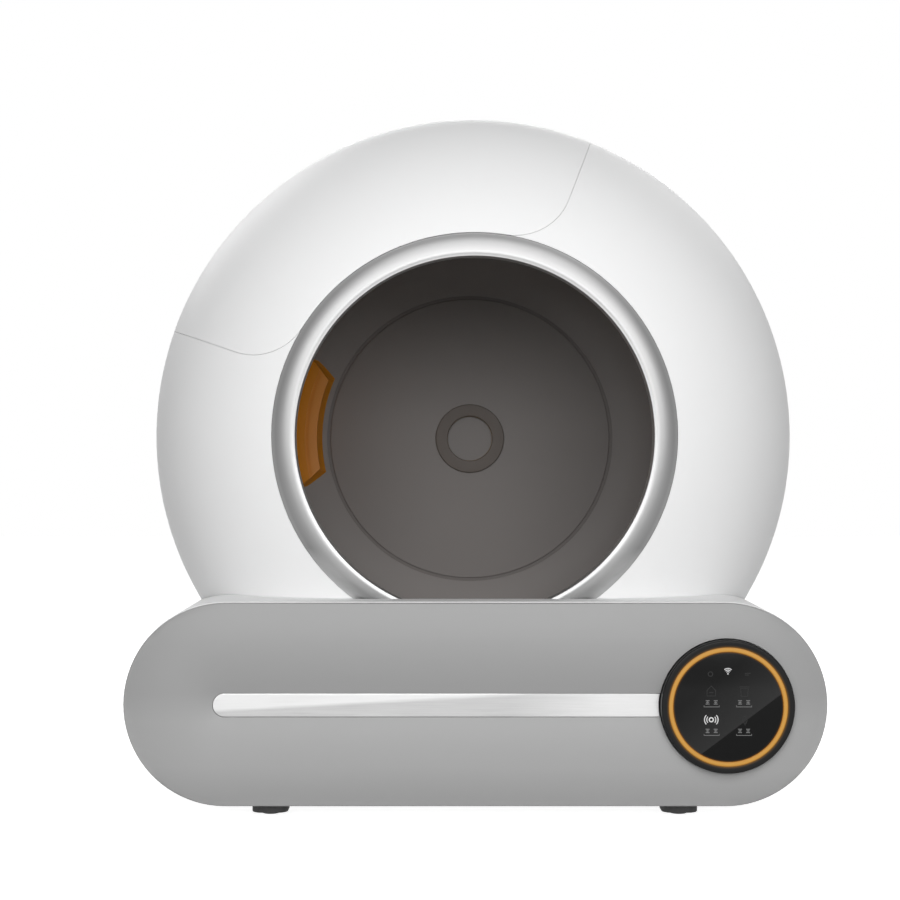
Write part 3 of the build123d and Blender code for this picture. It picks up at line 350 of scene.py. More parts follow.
keep("foot_pads", feet, "base", rubber.material, "rubber_feet")


# Load cells
# Four small milled aluminium cells that feel the weight of the cat and of the waste. They sit between
# the feet and the base floor.
hair = 0.00001


def copied(node_name):
    """Shape of a CAD node, with its doubled points merged."""
    shape = bmesh.new()
    shape.from_mesh(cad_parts[node_name].data)
    bmesh.ops.remove_doubles(shape, verts=shape.verts, dist=hair)
    return shape


def dressed(name, node_name, body, material, edge_angle=30.0):
    """Smooth copy of a CAD node, but for edges sharper than the angle, in place of that node."""
    shape = copied(node_name)
    soften(shape, edge_angle)
    return keep(name, shape, body, material, node_name)


aluminium = Finish("milled_aluminium")
at = aluminium.place(scale=(1, 14, 1))
lines = aluminium.noise(at, 500.0, 4.0, 0.6)
aluminium.close(
    {
        "Base Color": aluminium.blend(lines, grey(0.45), grey(0.6)),
        "Metallic": 1.0,
        "Roughness": aluminium.rough(lines, 0.28, 0.42),
        "Normal": aluminium.relief(lines, 0.12, 0.0002),
    }
)
dressed("cell_discs", "load_cells", "base", aluminium.material)

# Base housing
# The white stadium shell of the base, injection moulded in satin ABS with a fine spark texture. The
# globe is let into its top, and the drawer closes its whole front.
white = Finish("white_shell")
at = white.place()
cloud = white.noise(at, 4.0, 2.0)
spark = white.noise(at, 1600.0, 3.0)
white.close(
    {
        "Base Color": white.blend(cloud, tone(0.835, 0.837, 0.838), tone(0.86, 0.861, 0.862)),
        "Roughness": white.rough(spark, 0.42, 0.52),
        "Normal": white.relief(spark, 0.06, 0.00015),
        "Specular IOR Level": 0.35,
    }
)
dressed("base_shell", "base_housing", "base", white.material)

# Base floor
# A white plate, moulded a little coarser than the shells, which closes the underside between the
# feet. It is screwed in from above.
sheet = Finish("white_plate")
at = sheet.place()
spark = sheet.noise(at, 900.0, 4.0)
sheet.close(
    {
        "Base Color": sheet.blend(sheet.noise(at, 9.0), tone(0.72, 0.722, 0.725), tone(0.78, 0.782, 0.784)),
        "Roughness": sheet.rough(spark, 0.5, 0.62),
        "Normal": sheet.relief(spark, 0.12, 0.0002),
    }
)


def dress(node_name, material):
    """Gives a flat sided CAD node its finish."""
    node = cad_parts[node_name]
    node.data.materials.clear()
    node.data.materials.append(material)


dress("base_floor", sheet.material)

# Drawer runners
# Two rails, moulded in slippery grey acetal and screwed to the base floor, one on each side of the
# drawer. The tray's ribs slide in their grooves.
acetal = Finish("grey_acetal")
at = acetal.place(scale=(1, 0.15, 1))
rub = acetal.noise(at, 260.0, 4.0)
acetal.close(
    {
        "Base Color": acetal.blend(rub, grey(0.23), grey(0.3)),
        "Roughness": acetal.rough(rub, 0.32, 0.48),
        "Normal": acetal.relief(rub, 0.1, 0.0002),
    }
)
for side in ("left", "right"):
    dress("drawer_runner_" + side, acetal.material)

# Cradle deck
# A white moulded deck over the drawer, with the square chute in its middle and the posts of the two
# front rollers.
dressed("deck", "cradle_deck", "base", sheet.material, 25.0)

# Front rollers
# Steel pins in the deck's posts, and on each pin a nylon wheel with a black rubber tyre that carries
# the drum's running band.
steel = Finish("bright_steel")
at = steel.place()
grind = steel.noise(at, 700.0, 4.0)
steel.close(
    {
        "Base Color": steel.blend(grind, tone(0.27, 0.275, 0.28), tone(0.38, 0.385, 0.39)),
        "Metallic": 1.0,
        "Roughness": steel.rough(grind, 0.2, 0.34),
        "Normal": steel.relief(grind, 0.08, 0.0001),
    }
)
dressed("roller_axles", "roller_pins", "base", steel.material)
nylon = Finish("pale_nylon")
at = nylon.place()
haze = nylon.noise(at, 300.0, 3.0)
nylon.close(
    {
        "Base Color": nylon.blend(haze, tone(0.66, 0.65, 0.6), tone(0.74, 0.73, 0.68)),
        "Roughness": nylon.rough(haze, 0.35, 0.5),
        "Normal": nylon.relief(haze, 0.08, 0.0002),
    }
)
tyre = Finish("tyre_rubber")
at = tyre.place()
grain = tyre.noise(at, 1300.0, 4.0)
tyre.close(
    {
        "Base Color": tyre.blend(tyre.noise(at, 120.0), grey(0.018), grey(0.032)),
        "Roughness": tyre.rough(grain, 0.7, 0.9),
        "Normal": tyre.relief(grain, 0.35, 0.0003),
    }
)
for side in ("left", "right"):
    dressed("wheel_" + side, "roller_hub_" + side, "roller_" + side, nylon.material)
    dressed("tyre_" + side, "roller_tyre_" + side, "roller_" + side, tyre.material)

# Globe housing
# The fixed white globe: a front and a rear shell, moulded in the same satin ABS as the base, and the
# panel between the two seams, which lifts off for cleaning.
dressed("globe_front", "globe_front_shell", "base", white.material)
dressed("globe_rear", "globe_rear_shell", "base", white.material)
axle_line = (0, 0, 0.3285)


def fitted(name, node_name, body, material, reach):
    """Copy of a panel whose cut edges are moved outwards, so that only a hairline stays round it."""
    skin_facing = 0.78
    shape = copied(node_name)
    shape.normal_update()
    shifts = {}
    for face in shape.faces:
        outwards = (face.calc_center_median() - Vector(axle_line)).normalized()
        if abs(face.normal.dot(outwards)) < skin_facing:
            for vert in face.verts:
                shifts.setdefault(vert, []).append(face.normal.copy())
    for vert, normals in shifts.items():
        vert.co += sum(normals, Vector()).normalized() * reach
    soften(shape)
    return keep(name, shape, body, material, node_name)


hatch_reach = 0.0006
fitted("hatch_panel", "globe_hatch", "hatch", white.material, hatch_reach)

# Hatch frame
# A pale moulded frame, welded under the edge of the opening, on which the panel rests. Four small
# nickel plated magnets in it hold the panel.
dressed("hatch_rest", "hatch_frame", "base", sheet.material)
nickel = Finish("nickel_plate")
at = nickel.place()
mist = nickel.noise(at, 400.0, 3.0)
nickel.close(
    {
        "Base Color": nickel.blend(mist, tone(0.52, 0.5, 0.46), tone(0.62, 0.6, 0.56)),
        "Metallic": 1.0,
        "Roughness": nickel.rough(mist, 0.15, 0.28),
    }
)
dressed("hatch_magnets", "frame_magnets", "base", nickel.material)

# Entry ring
# A pressed ring in satin silver lacquer, with its crest near the opening and a long roll off to the
# globe, paler beside the base by a painted reflection of the white ledge. Its sleeve snaps into the
# flange of the front shell.
ring_inner = 0.1566
ring_outer = 0.1772
ring_back = -0.202
ring_edge = 0.0013
ring_crest = (0.1602, -0.2104)
mouth_end = (ring_inner, -0.2095)
roll_end = (ring_outer - ring_edge, -0.2067)
sleeve_outer = 0.1586
sleeve_end = -0.188


def roll(crest, end, steps):
    """Points along an arc that leaves a level crest and comes down to an end."""
    across = end[0] - crest[0]
    drop = end[1] - crest[1]
    radius = (across * across + drop * drop) / (2 * drop)
    swing = math.asin(abs(across) / radius)
    points = []
    for step in range(steps + 1):
        angle = swing * step / steps
        reach = math.copysign(radius * math.sin(angle), across)
        points.append((crest[0] + reach, crest[1] + radius * (1 - math.cos(angle))))
    return points


def arc(centre, radius, start, end, steps=14):
    """Points of an arc between two directions in degrees."""
    points = []
    for step in range(steps + 1):
        angle = math.radians(start + (end - start) * step / steps)
        points.append((centre[0] + radius * math.cos(angle), centre[1] + radius * math.sin(angle)))
    return points


ring_outline = [(ring_inner, sleeve_end)]
ring_outline += reversed(roll(ring_crest, mouth_end, 10))
ring_outline += roll(ring_crest, roll_end, 24)[1:]
ring_outline += arc((roll_end[0], roll_end[1] + ring_edge), ring_edge, -60, 0, 5)
ring_outline += [(ring_outer, ring_back), (sleeve_outer, ring_back)]
ring_outline += [(sleeve_outer, sleeve_end), (ring_inner, sleeve_end)]
entry = lathe(ring_outline, axle_line, 256)
soften(entry)
silver = Finish("satin_silver")
at = silver.place(move=(0, 0, -axle_line[2]))
radius = silver.radius(at)
rings = silver.add(
    "ShaderNodeTexNoise",
    {"noise_dimensions": "1D"},
    {"W": radius, "Scale": 4200.0, "Detail": 3.0, "Roughness": 0.6},
    "Fac",
)
pearl = silver.noise(at, 2400.0, 3.0)
outward = silver.spread(radius, ring_inner, ring_outer, 0.0, 1.0) + (rings - 0.5) * 0.08
# Painted reflection: the grey of the lacquer is light at the inner edge and dark over the roll off.
painted_ring_reflection = silver.ramp(
    outward,
    [
        (0.0, grey(0.6)),
        (0.1, grey(0.305)),
        (0.25, grey(0.23)),
        (0.5, grey(0.21)),
        (0.8, grey(0.192)),
        (1.0, grey(0.25)),
    ],
)
# Painted reflection of the white ledge: a paler grey, blended in at the bottom of the ring beside the base.
painted_ledge_reflection = silver.ramp(
    outward,
    [
        (0.0, grey(0.4)),
        (0.16, grey(0.19)),
        (0.32, grey(0.235)),
        (0.5, grey(0.265)),
        (0.66, grey(0.38)),
        (0.85, grey(0.55)),
        (1.0, grey(0.6)),
    ],
)
fade_bottom = -0.128
fade_top = -0.098
ledge_reflection_share = silver.spread(silver.axis(at, "Z"), fade_bottom, fade_top, 1.0, 0.0)
silver.close(
    {
        "Base Color": silver.blend(ledge_reflection_share, painted_ring_reflection, painted_ledge_reflection),
        "Metallic": 1.0,
        "Roughness": silver.spread(pearl + rings, 0.7, 1.3, 0.34, 0.42),
        "Normal": silver.relief(rings, 0.04, 0.0001),
    }
)
keep("silver_ring", entry, "base", silver.material, "entry_ring")
felt = Finish("grey_felt")
at = felt.place()
fuzz = felt.noise(at, 1900.0, 6.0, 0.7)
felt.close(
    {
        "Base Color": felt.blend(fuzz, grey(0.05), grey(0.16)),
        "Roughness": 0.95,
        "Sheen Weight": 0.3,
        "Normal": felt.relief(fuzz, 0.6, 0.0005),
    }
)
dressed("mouth_felt", "entry_seal", "base", felt.material)

# Rear axle
# A stub in dark glass filled nylon, whose end closes the middle of the drum's back wall, with a flange
# that four pan head screws hold to the rear shell.
back_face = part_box("drum_back_disc")[0].y
groove_inner = 0.1512
groove_outer = 0.1550
groove_edge = 0.0008
fade = 0.0004
drum_grey = Finish("drum_grey")
at = drum_grey.place()
cloud = drum_grey.noise(at, 6.0, 3.0)
spark = drum_grey.noise(at, 1400.0, 3.0)
radius = drum_grey.radius(drum_grey.place(move=(0, 0, -axle_line[2])))
# Painted shade: the floor of the groove near the edge of the back wall is coloured darker than the wall.
groove_shade_inner = drum_grey.spread(radius, groove_inner - fade / 2, groove_inner + fade, 0.0, 1.0)
groove_shade_outer = drum_grey.spread(radius, groove_outer - fade, groove_outer + 2 * fade, 1.0, 0.0)
groove_shade_depth = drum_grey.spread(drum_grey.axis(at, "Y"), back_face, back_face + groove_edge, 0.0, 1.0)
plain = drum_grey.blend(cloud, tone(0.255, 0.237, 0.228), tone(0.273, 0.255, 0.246))
drum_grey.close(
    {
        "Base Color": drum_grey.blend(groove_shade_inner * groove_shade_outer * groove_shade_depth, plain, tone(0.205, 0.188, 0.18)),
        "Roughness": drum_grey.rough(spark, 0.5, 0.62),
        "Normal": drum_grey.relief(spark, 0.1, 0.0002),
        "Specular IOR Level": 0.3,
    }
)
dressed("stub_axle", "rear_axle", "base", drum_grey.material)
head_height = 0.0020


def pan_screws(name, node_name, seat, body, material):
    """Four pan heads with a cross recess, in the corners of their node's box, and their shanks."""
    head_radius = 0.0036
    head_edge = 0.0012
    crown = seat + head_height + 0.00002
    crown_radius = 0.0012
    shank_radius = 0.0020
    shank_end = seat - 0.008
    slot_length = 0.0040
    slot_width = 0.0008
    slot_depth = 0.0012
    slot_middle = seat + 0.0018
    low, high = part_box(node_name)
    spots = [
        (x, z)
        for x in (low.x + head_radius, high.x - head_radius)
        for z in (low.z + head_radius, high.z - head_radius)
    ]
    outline = [(0.0, shank_end), (shank_radius, shank_end), (shank_radius, seat), (head_radius, seat)]
    outline += arc((head_radius - head_edge, seat + head_height - head_edge), head_edge, 0, 90, 5)
    outline += [(crown_radius, crown), (0.0, crown)]
    screws = bmesh.new()
    cross = bmesh.new()
    for x, z in spots:
        join(screws, lathe(outline, (x, 0, z), 36))
        block(cross, (x, slot_middle, z), (slot_length, slot_depth, slot_width))
        block(cross, (x, slot_middle, z), (slot_width, slot_depth, slot_length))
    soften(screws)
    piece = keep(name, screws, body, material, node_name)
    mesh = bpy.data.meshes.new("cross")
    cross.to_mesh(mesh)
    cross.free()
    tool = bpy.data.objects.new("cross", mesh)
    bpy.context.scene.collection.objects.link(tool)
    cut = piece.modifiers.new("cross", "BOOLEAN")
    cut.operation = "DIFFERENCE"
    cut.solver = "EXACT"
    cut.use_self = True
    cut.object = tool
    bpy.context.view_layer.update()
    finished = bpy.data.meshes.new_from_object(piece.evaluated_get(bpy.context.evaluated_depsgraph_get()))
    piece.modifiers.clear()
    piece.data = finished
    bpy.data.objects.remove(tool)
    bpy.data.meshes.remove(mesh)


flange_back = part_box("axle_screws")[1].y - head_height
pan_screws("axle_bolts", "axle_screws", flange_back, "base", steel.material)

# Drum
# The warm dark grey drum in which the cat stands, in matt polypropylene: a front and a rear shell,
# welded together under the running band, and a back wall with a shallow groove near its edge.
dressed("drum_front", "drum_front_shell", "drum", drum_grey.material)
groove_depth = 0.0020
shell_opening = 0.1535
rear_shell = dressed("drum_rear", "drum_rear_shell", "drum", drum_grey.material)
for vert in rear_shell.data.vertices:
    aside = Vector((vert.co.x, 0, vert.co.z - axle_line[2]))
    if aside.length < shell_opening and vert.co.y > back_face - groove_depth:
        aside *= groove_outer / aside.length
        vert.co = (aside.x, vert.co.y, aside.z + axle_line[2])
groove_floor = back_face + groove_depth
wall_radius = 0.1556
wall_bore = 0.0265
wall_back = back_face + 0.0028
boss_radius = 0.0320
boss_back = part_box("drum_back_disc")[1].y
bush_bore = 0.0281
bush_seat = back_face + 0.0030
back_outline = [(wall_bore, bush_seat), (wall_bore, back_face)]
back_outline += arc((groove_inner - groove_edge, back_face + groove_edge), groove_edge, -90, 0, 4)
back_outline += [(groove_inner, groove_floor), (wall_radius, groove_floor), (wall_radius, wall_back)]
back_outline += [(boss_radius, wall_back), (boss_radius, boss_back), (bush_bore, boss_back)]
back_outline += [(bush_bore, bush_seat), (wall_bore, bush_seat)]
back_wall = lathe(back_outline, axle_line, 256)
soften(back_wall)
keep("drum_back", back_wall, "drum", drum_grey.material, "drum_back_disc")

# Hub ring
# A flat raised ring in a darker grey polypropylene, with rounded edges. It is snapped into the back
# wall round the end of the axle.
hub_grey = Finish("hub_grey")
at = hub_grey.place()
cloud = hub_grey.noise(at, 20.0)
spark = hub_grey.noise(at, 1500.0, 3.0)
hub_grey.close(
    {
        "Base Color": hub_grey.blend(cloud, tone(0.14, 0.121, 0.108), tone(0.158, 0.137, 0.122)),
        "Roughness": hub_grey.rough(spark, 0.5, 0.6),
        "Normal": hub_grey.relief(spark, 0.1, 0.0002),
        "Specular IOR Level": 0.3,
    }
)
hub_low, hub_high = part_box("hub_ring")
hub_bore = 0.02406
hub_edge = 0.0012


def flat_ring(inner, outer, front, back, edge, steps):
    """Outline of a flat ring whose two front edges are rounded."""
    points = [(inner, back)]
    points += arc((inner + edge, front + edge), edge, 180, 270, steps)
    points += arc((outer - edge, front + edge), edge, -90, 0, steps)
    return points + [(outer, back), (inner, back)]


hub = lathe(flat_ring(hub_bore, hub_high.x, hub_low.y, hub_high.y, hub_edge, 6), axle_line, 160)
soften(hub)
keep("drum_hub", hub, "drum", hub_grey.material, "hub_ring")

# Waste port
# A thicker frame, welded round the opening through which the waste falls when the drum stops upside
# down.
dressed("port_rim", "port_frame", "drum", drum_grey.material)

# Bush and running band
# A sintered bronze bush, pressed into the back wall's boss, that turns on the stub axle, and a nylon
# band, shrunk on the drum's seam, that runs on the rollers.
bronze = Finish("sintered_bronze")
at = bronze.place()
pores = bronze.noise(at, 1500.0, 4.0, 0.7)
bronze.close(
    {
        "Base Color": bronze.blend(pores, tone(0.3, 0.19, 0.08), tone(0.45, 0.3, 0.13)),
        "Metallic": 1.0,
        "Roughness": bronze.rough(pores, 0.35, 0.55),
        "Normal": bronze.relief(pores, 0.2, 0.0002),
    }
)
dressed("axle_bush", "hub_bush", "drum", bronze.material)
dressed("running_band", "drum_track", "drum", nylon.material)

# Sieve
# The orange tray with slots that lets clean litter fall back while the drum turns. It is moulded in
# glossy polypropylene and clips to the drum's wall.
orange = Finish("orange_sieve")
at = orange.place()
streak = orange.noise(at, 18.0, 3.0)
spark = orange.noise(at, 900.0, 3.0)
orange.close(
    {
        "Base Color": orange.blend(streak, tone(0.55, 0.18, 0.002), tone(0.62, 0.215, 0.004)),
        "Roughness": orange.rough(spark, 0.36, 0.48),
        "Specular IOR Level": 0.3,
        # Painted light: a faint orange glow stands in for light that falls on the sieve inside the drum.
        "Emission Color": tone(0.026, 0.0105, 0.0),
        "Emission Strength": 1.0,
        "Normal": orange.relief(spark, 0.08, 0.0002),
    }
)
dressed("sieve_tray", "sieve", "drum", orange.material)

# Drum drive
# A ring gear on the drum's back, an acetal pinion on a steel shaft, and the worm gearbox with its motor
# on a bent steel bracket. A small board reads the magnet in the ring gear.
gear = Finish("gear_acetal")
at = gear.place()
haze = gear.noise(at, 500.0, 3.0)
gear.close(
    {
        "Base Color": gear.blend(haze, tone(0.55, 0.54, 0.5), tone(0.64, 0.63, 0.59)),
        "Roughness": gear.rough(haze, 0.3, 0.45),
        "Normal": gear.relief(haze, 0.1, 0.0002),
    }
)
dressed("ring_gear", "drum_gear", "drum", gear.material, 20.0)
dressed("gear_magnet", "position_magnet", "drum", nickel.material)
dressed("pinion_gear", "drive_pinion", "pinion", gear.material, 20.0)
dressed("pinion_axle", "pinion_shaft", "pinion", steel.material)
zinc = Finish("zinc_sheet")
at = zinc.place()
spangle = zinc.add("ShaderNodeTexVoronoi", {}, {"Vector": at, "Scale": 130.0}, "Distance")
zinc.close(
    {
        "Base Color": zinc.blend(spangle, tone(0.38, 0.4, 0.42), tone(0.56, 0.58, 0.6)),
        "Metallic": 1.0,
        "Roughness": zinc.spread(spangle, 0.0, 0.8, 0.3, 0.5),
    }
)
dressed("gear_bracket", "motor_bracket", "base", zinc.material)
black_case = Finish("black_moulding")
at = black_case.place()
spark = black_case.noise(at, 1200.0, 3.0)
black_case.close(
    {
        "Base Color": black_case.blend(black_case.noise(at, 40.0), grey(0.022), grey(0.035)),
        "Roughness": black_case.rough(spark, 0.45, 0.6),
        "Normal": black_case.relief(spark, 0.15, 0.0002),
    }
)
dressed("gear_case", "worm_gearbox", "base", black_case.material)
dressed("motor_can", "drive_motor", "base", zinc.material)
green = Finish("circuit_board")
at = green.place()
tracks = green.add(
    "ShaderNodeTexBrick",
    {"offset": 0.5},
    {
        "Vector": at,
        "Scale": 160.0,
        "Mortar Size": 0.09,
        "Color1": grey(0.0),
        "Color2": grey(0.2),
        "Mortar": grey(1.0),
    },
)
mask = green.add("ShaderNodeRGBToBW", {}, {"Color": tracks})
green.close(
    {
        "Base Color": green.blend(mask, tone(0.01, 0.09, 0.03), tone(0.03, 0.2, 0.07)),
        "Roughness": green.rough(green.noise(at, 300.0), 0.28, 0.4),
    }
)
dress("position_sensor", green.material)

# Electronics
# The control board on four nylon pillars at the rear wall, the round low voltage inlet beside it, and
# the button with its cup.
dress("main_board", green.material)
dressed("board_pillars", "board_standoffs", "base", nylon.material)
dressed("inlet", "power_inlet", "base", black_case.material)
dressed("button_cup", "button_body", "base", black_case.material)
button = Finish("grey_button")
at = button.place()
spark = button.noise(at, 1500.0, 3.0)
button.close(
    {
        "Base Color": button.blend(button.noise(at, 80.0), grey(0.34), grey(0.38)),
        "Roughness": button.rough(spark, 0.4, 0.5),
        "Normal": button.relief(spark, 0.1, 0.0001),
    }
)
dressed("button_cap", "power_button", "button", button.material)

# Service cover
# A white lid over the electronics, moulded in the same satin ABS as the housing and held by four pan
# head screws.
dressed("service_lid", "service_cover", "base", white.material)
lid_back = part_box("service_cover")[1].y
pan_screws("lid_screws", "cover_screws", lid_back, "base", steel.material)

# Waste drawer
# A grey moulded tray with a rib along each side, the frame that holds the bag's mouth, and behind the
# front the plate that joins them.
tray = Finish("tray_grey")
at = tray.place()
spark = tray.noise(at, 800.0, 3.0)
tray.close(
    {
        "Base Color": tray.blend(tray.noise(at, 8.0), tone(0.26, 0.262, 0.267), tone(0.3, 0.302, 0.307)),
        "Roughness": tray.rough(spark, 0.42, 0.56),
        "Normal": tray.relief(spark, 0.12, 0.0002),
    }
)
dressed("waste_tray", "drawer_tray", "drawer", tray.material)
dressed("bag_holder", "bag_ring", "drawer", acetal.material)
dressed("front_carrier", "drawer_carrier", "drawer", tray.material)

# Drawer front
# The pillowed light grey panel over the whole face of the base, moulded in satin ABS, with painted shade
# that makes the upper cushion darker than the lower. They meet in a shallow valley, where the metal strip
# lies.
front_bottom = 0.0125
front_top = 0.18675
front_grey = Finish("front_grey")
at = front_grey.place()
cloud = front_grey.noise(at, 5.0, 2.0)
spark = front_grey.noise(at, 1500.0, 3.0)
# Painted shade: the grey follows the height, lighter over the lower cushion and darker over the upper one.
height = front_grey.spread(front_grey.axis(at, "Z"), front_bottom, front_top, 0.0, 1.0)
front_grey.close(
    {
        "Base Color": front_grey.ramp(
            height + (cloud - 0.5) * 0.06,
            [
                (0.0, grey(0.342)),
                (0.2, grey(0.381)),
                (0.42, grey(0.362)),
                (0.56, grey(0.318)),
                (0.8, grey(0.312)),
                (1.0, grey(0.33)),
            ],
        ),
        "Roughness": front_grey.rough(spark, 0.45, 0.56),
        "Normal": front_grey.relief(spark, 0.06, 0.00015),
    }
)
dressed("grey_front", "drawer_front", "drawer", front_grey.material)

# Metal strip
# A thin aluminium trim, brushed along its length and clear anodised, glued into the valley of the
# front. Its left end is round, and the control pod's circle cuts its right end.
strip_low, strip_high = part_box("drawer_strip")
strip_middle = (strip_low.z + strip_high.z) / 2
strip_excess = 0.0003
strip_half = (strip_high.z - strip_low.z) / 2 + strip_excess
strip_edge = 0.0005
strip_margin = 0.0004
pod_low, pod_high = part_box("pod_case")
pod_middle = ((pod_low.x + pod_high.x) / 2, 0, (pod_low.z + pod_high.z) / 2)
cut_radius = 0.0571
cut_steps = 8


def thicken(shape, depth):
    """Draws flat faces out along the Y axis."""
    grown = bmesh.ops.extrude_face_region(shape, geom=list(shape.faces))
    moved = [item for item in grown["geom"] if isinstance(item, bmesh.types.BMVert)]
    bmesh.ops.translate(shape, verts=moved, vec=(0, depth, 0))
    bmesh.ops.recalc_face_normals(shape, faces=shape.faces)


outline = arc((strip_low.x + strip_half - strip_excess, strip_middle), strip_half, 90, 270, 24)
for step in range(cut_steps + 1):
    z = strip_middle - strip_half + 2 * strip_half * step / cut_steps
    outline.append((pod_middle[0] - math.sqrt(cut_radius ** 2 - (z - pod_middle[2]) ** 2), z))
strip = bmesh.new()
strip.faces.new([strip.verts.new((x, strip_high.y, z)) for x, z in outline])
thicken(strip, strip_low.y - strip_high.y)
rim = [edge for edge in strip.edges if all(abs(vert.co.y - strip_low.y) < hair for vert in edge.verts)]
round_off(strip, rim, strip_edge, 3, clamp=True)
broad = max((face for face in strip.faces if face.normal.y < -0.9), key=lambda face: face.calc_area())
bmesh.ops.inset_region(strip, faces=[broad], thickness=strip_margin)
soften(strip, 50.0)
brushed = Finish("brushed_strip")
at = brushed.place(scale=(1, 1, 60))
lines = brushed.noise(at, 26.0, 6.0, 0.65)
still = brushed.place()
across = brushed.axis(still, "X")
# Painted reflection: a paler grey over a slanting wedge along the top, widening to the left end, and over
# the right end.
wedge_slope = 0.055
wedge_bottom = strip_middle + 0.0056
wedge_top = strip_middle + 0.0088
slant = brushed.axis(still, "Z") - across * wedge_slope
painted_left_reflection = brushed.spread(slant, wedge_bottom, wedge_top, 0.0, 1.2)
painted_right_reflection = brushed.spread(across, 0.03, 0.115, 0.0, 1.0)
painted_strip_reflection = painted_left_reflection.combine("MAXIMUM", painted_left_reflection, painted_right_reflection)
brushed.close(
    {
        "Base Color": brushed.blend(painted_strip_reflection * 0.7 + lines * 0.7 - 0.2, grey(0.33), grey(0.5)),
        "Metallic": 1.0,
        "Roughness": brushed.rough(lines, 0.3, 0.42),
        "Normal": brushed.relief(lines, 0.14, 0.0001),
    }
)
keep("metal_strip", strip, "drawer", brushed.material, "drawer_strip")

# Control pod
# A round black cup, moulded in gloss ABS, that stands on the base's front wall and comes through the
# drawer front. Beside the light ring it has a painted glow, which stands in for the ring's light on it.
pod_front = pod_low.y
pod_radius = (pod_high.x - pod_low.x) / 2
pod_edge = 0.0016
cup_wall = 0.0025
cup_bore = pod_radius - cup_wall
cup_floor = pod_high.y - cup_wall
light_outer = 0.0503
light_inner = 0.0463
light_back = pod_front + 0.0044
mouth_edge = 0.0003
shelf_bore = 0.0400
shelf_back = light_back + 0.0020
cup_outline = [(0.0, pod_high.y), (pod_radius, pod_high.y)]
cup_outline += arc((pod_radius - pod_edge, pod_front + pod_edge), pod_edge, 0, -90, 8)
cup_outline += arc((light_outer + mouth_edge, pod_front + mouth_edge), mouth_edge, -90, -180, 3)
cup_outline += [(light_outer, light_back), (shelf_bore, light_back), (shelf_bore, shelf_back)]
cup_outline += [(cup_bore, shelf_back), (cup_bore, cup_floor), (0.0, cup_floor)]
cup = lathe(cup_outline, pod_middle, 128)
soften(cup)
cup_black = Finish("cup_black")
at = cup_black.place(move=(-pod_middle[0], 0, -pod_middle[2]))
wave = cup_black.noise(at, 40.0, 2.0)
# Painted light: the cup glows amber just outside the light ring.
glow_reach = 0.0022
painted_glow = cup_black.spread(cup_black.radius(at), light_outer, light_outer + glow_reach, 1.0, 0.0) ** 2.0
cup_black.close(
    {
        "Base Color": cup_black.blend(wave, grey(0.006), grey(0.009)),
        "Roughness": cup_black.rough(wave, 0.3, 0.38),
        "Specular IOR Level": 0.14,
        "Emission Color": cup_black.blend(painted_glow, tone(0, 0, 0), tone(0.13, 0.06, 0.006)),
        "Emission Strength": 1.0,
    }
)
keep("pod_cup", cup, "base", cup_black.material, "pod_case")

# Light ring
# An amber light guide, moulded in clear acrylic with a milky skin, pressed between the cup and the
# glass. Lamps on the board shine into it from behind.
guide_front = pod_front + 0.0004
guide_edge = 0.0005
guide = lathe(flat_ring(light_inner, light_outer, guide_front, light_back, guide_edge, 4), pod_middle, 160)
soften(guide)
amber = Finish("amber_light")
at = amber.place(move=(-pod_middle[0], 0, -pod_middle[2]))
guide_middle = (light_inner + light_outer) / 2
guide_half = (light_outer - light_inner) / 2
aside = abs(amber.radius(at) - guide_middle) / guide_half
heat = aside ** 2.5 + (amber.noise(at, 90.0) - 0.5) * 0.15
amber.close(
    {
        "Base Color": amber.blend(heat, tone(0.3, 0.15, 0.025), tone(0.2, 0.07, 0.005)),
        "Roughness": 0.35,
        "Specular IOR Level": 0.25,
        "Emission Color": amber.blend(heat, tone(0.31, 0.165, 0.035), tone(0.18, 0.066, 0.003)),
        "Emission Strength": 1.0,
    }
)
keep("pod_light", guide, "base", amber.material, "pod_light_ring")

# Black glass
# The round touch glass, printed black behind, with a lip that rests on the cup's shelf. A painted
# reflection, a paler field, crosses its upper left, and its rim has a painted amber glow.
glass_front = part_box("pod_glass")[0].y
glass_back = glass_front + 0.0024
glass_radius = 0.0462
glass_edge = 0.0004
pane_outline = [(0.0, glass_front)]
pane_outline += arc((glass_radius - glass_edge, glass_front + glass_edge), glass_edge, -90, 0, 4)
pane_outline += [(glass_radius, light_back), (shelf_bore, light_back)]
pane_outline += [(shelf_bore, glass_back), (0.0, glass_back)]
pane = lathe(pane_outline, pod_middle, 128)
soften(pane)
pane_black = Finish("smoked_glass")
at = pane_black.place(move=(-pod_middle[0], 0, -pod_middle[2]))
# Painted reflection: a paler field across the upper left, fading from its slanting edge towards the upper
# left.
field_slope = 0.75
field_drop = 0.0224
blur = 0.0003
over = pane_black.axis(at, "Z") - pane_black.axis(at, "X") * field_slope + field_drop
painted_glass_reflection = pane_black.spread(over, -blur, blur, 0.0, 1.0)
glass_reflection_fade = pane_black.spread(over, 0.0, 0.052, 1.0, 0.18)
# Painted light: an amber glow on the rim of the glass stands in for the light ring's light.
rim_reach = 0.0016
painted_rim_glow = pane_black.spread(pane_black.radius(at), glass_radius - rim_reach, glass_radius, 0.0, 1.0) ** 2.0
pane_black.close(
    {
        "Base Color": pane_black.blend(painted_glass_reflection * glass_reflection_fade, grey(0.002), grey(0.026)),
        "Roughness": pane_black.rough(pane_black.noise(at, 25.0), 0.1, 0.14),
        "Specular IOR Level": 0.12,
        "Emission Color": pane_black.blend(painted_rim_glow, tone(0, 0, 0), tone(0.1, 0.04, 0.003)),
        "Emission Strength": 1.0,
    }
)
keep("pod_pane", pane, "base", pane_black.material, "pod_glass")

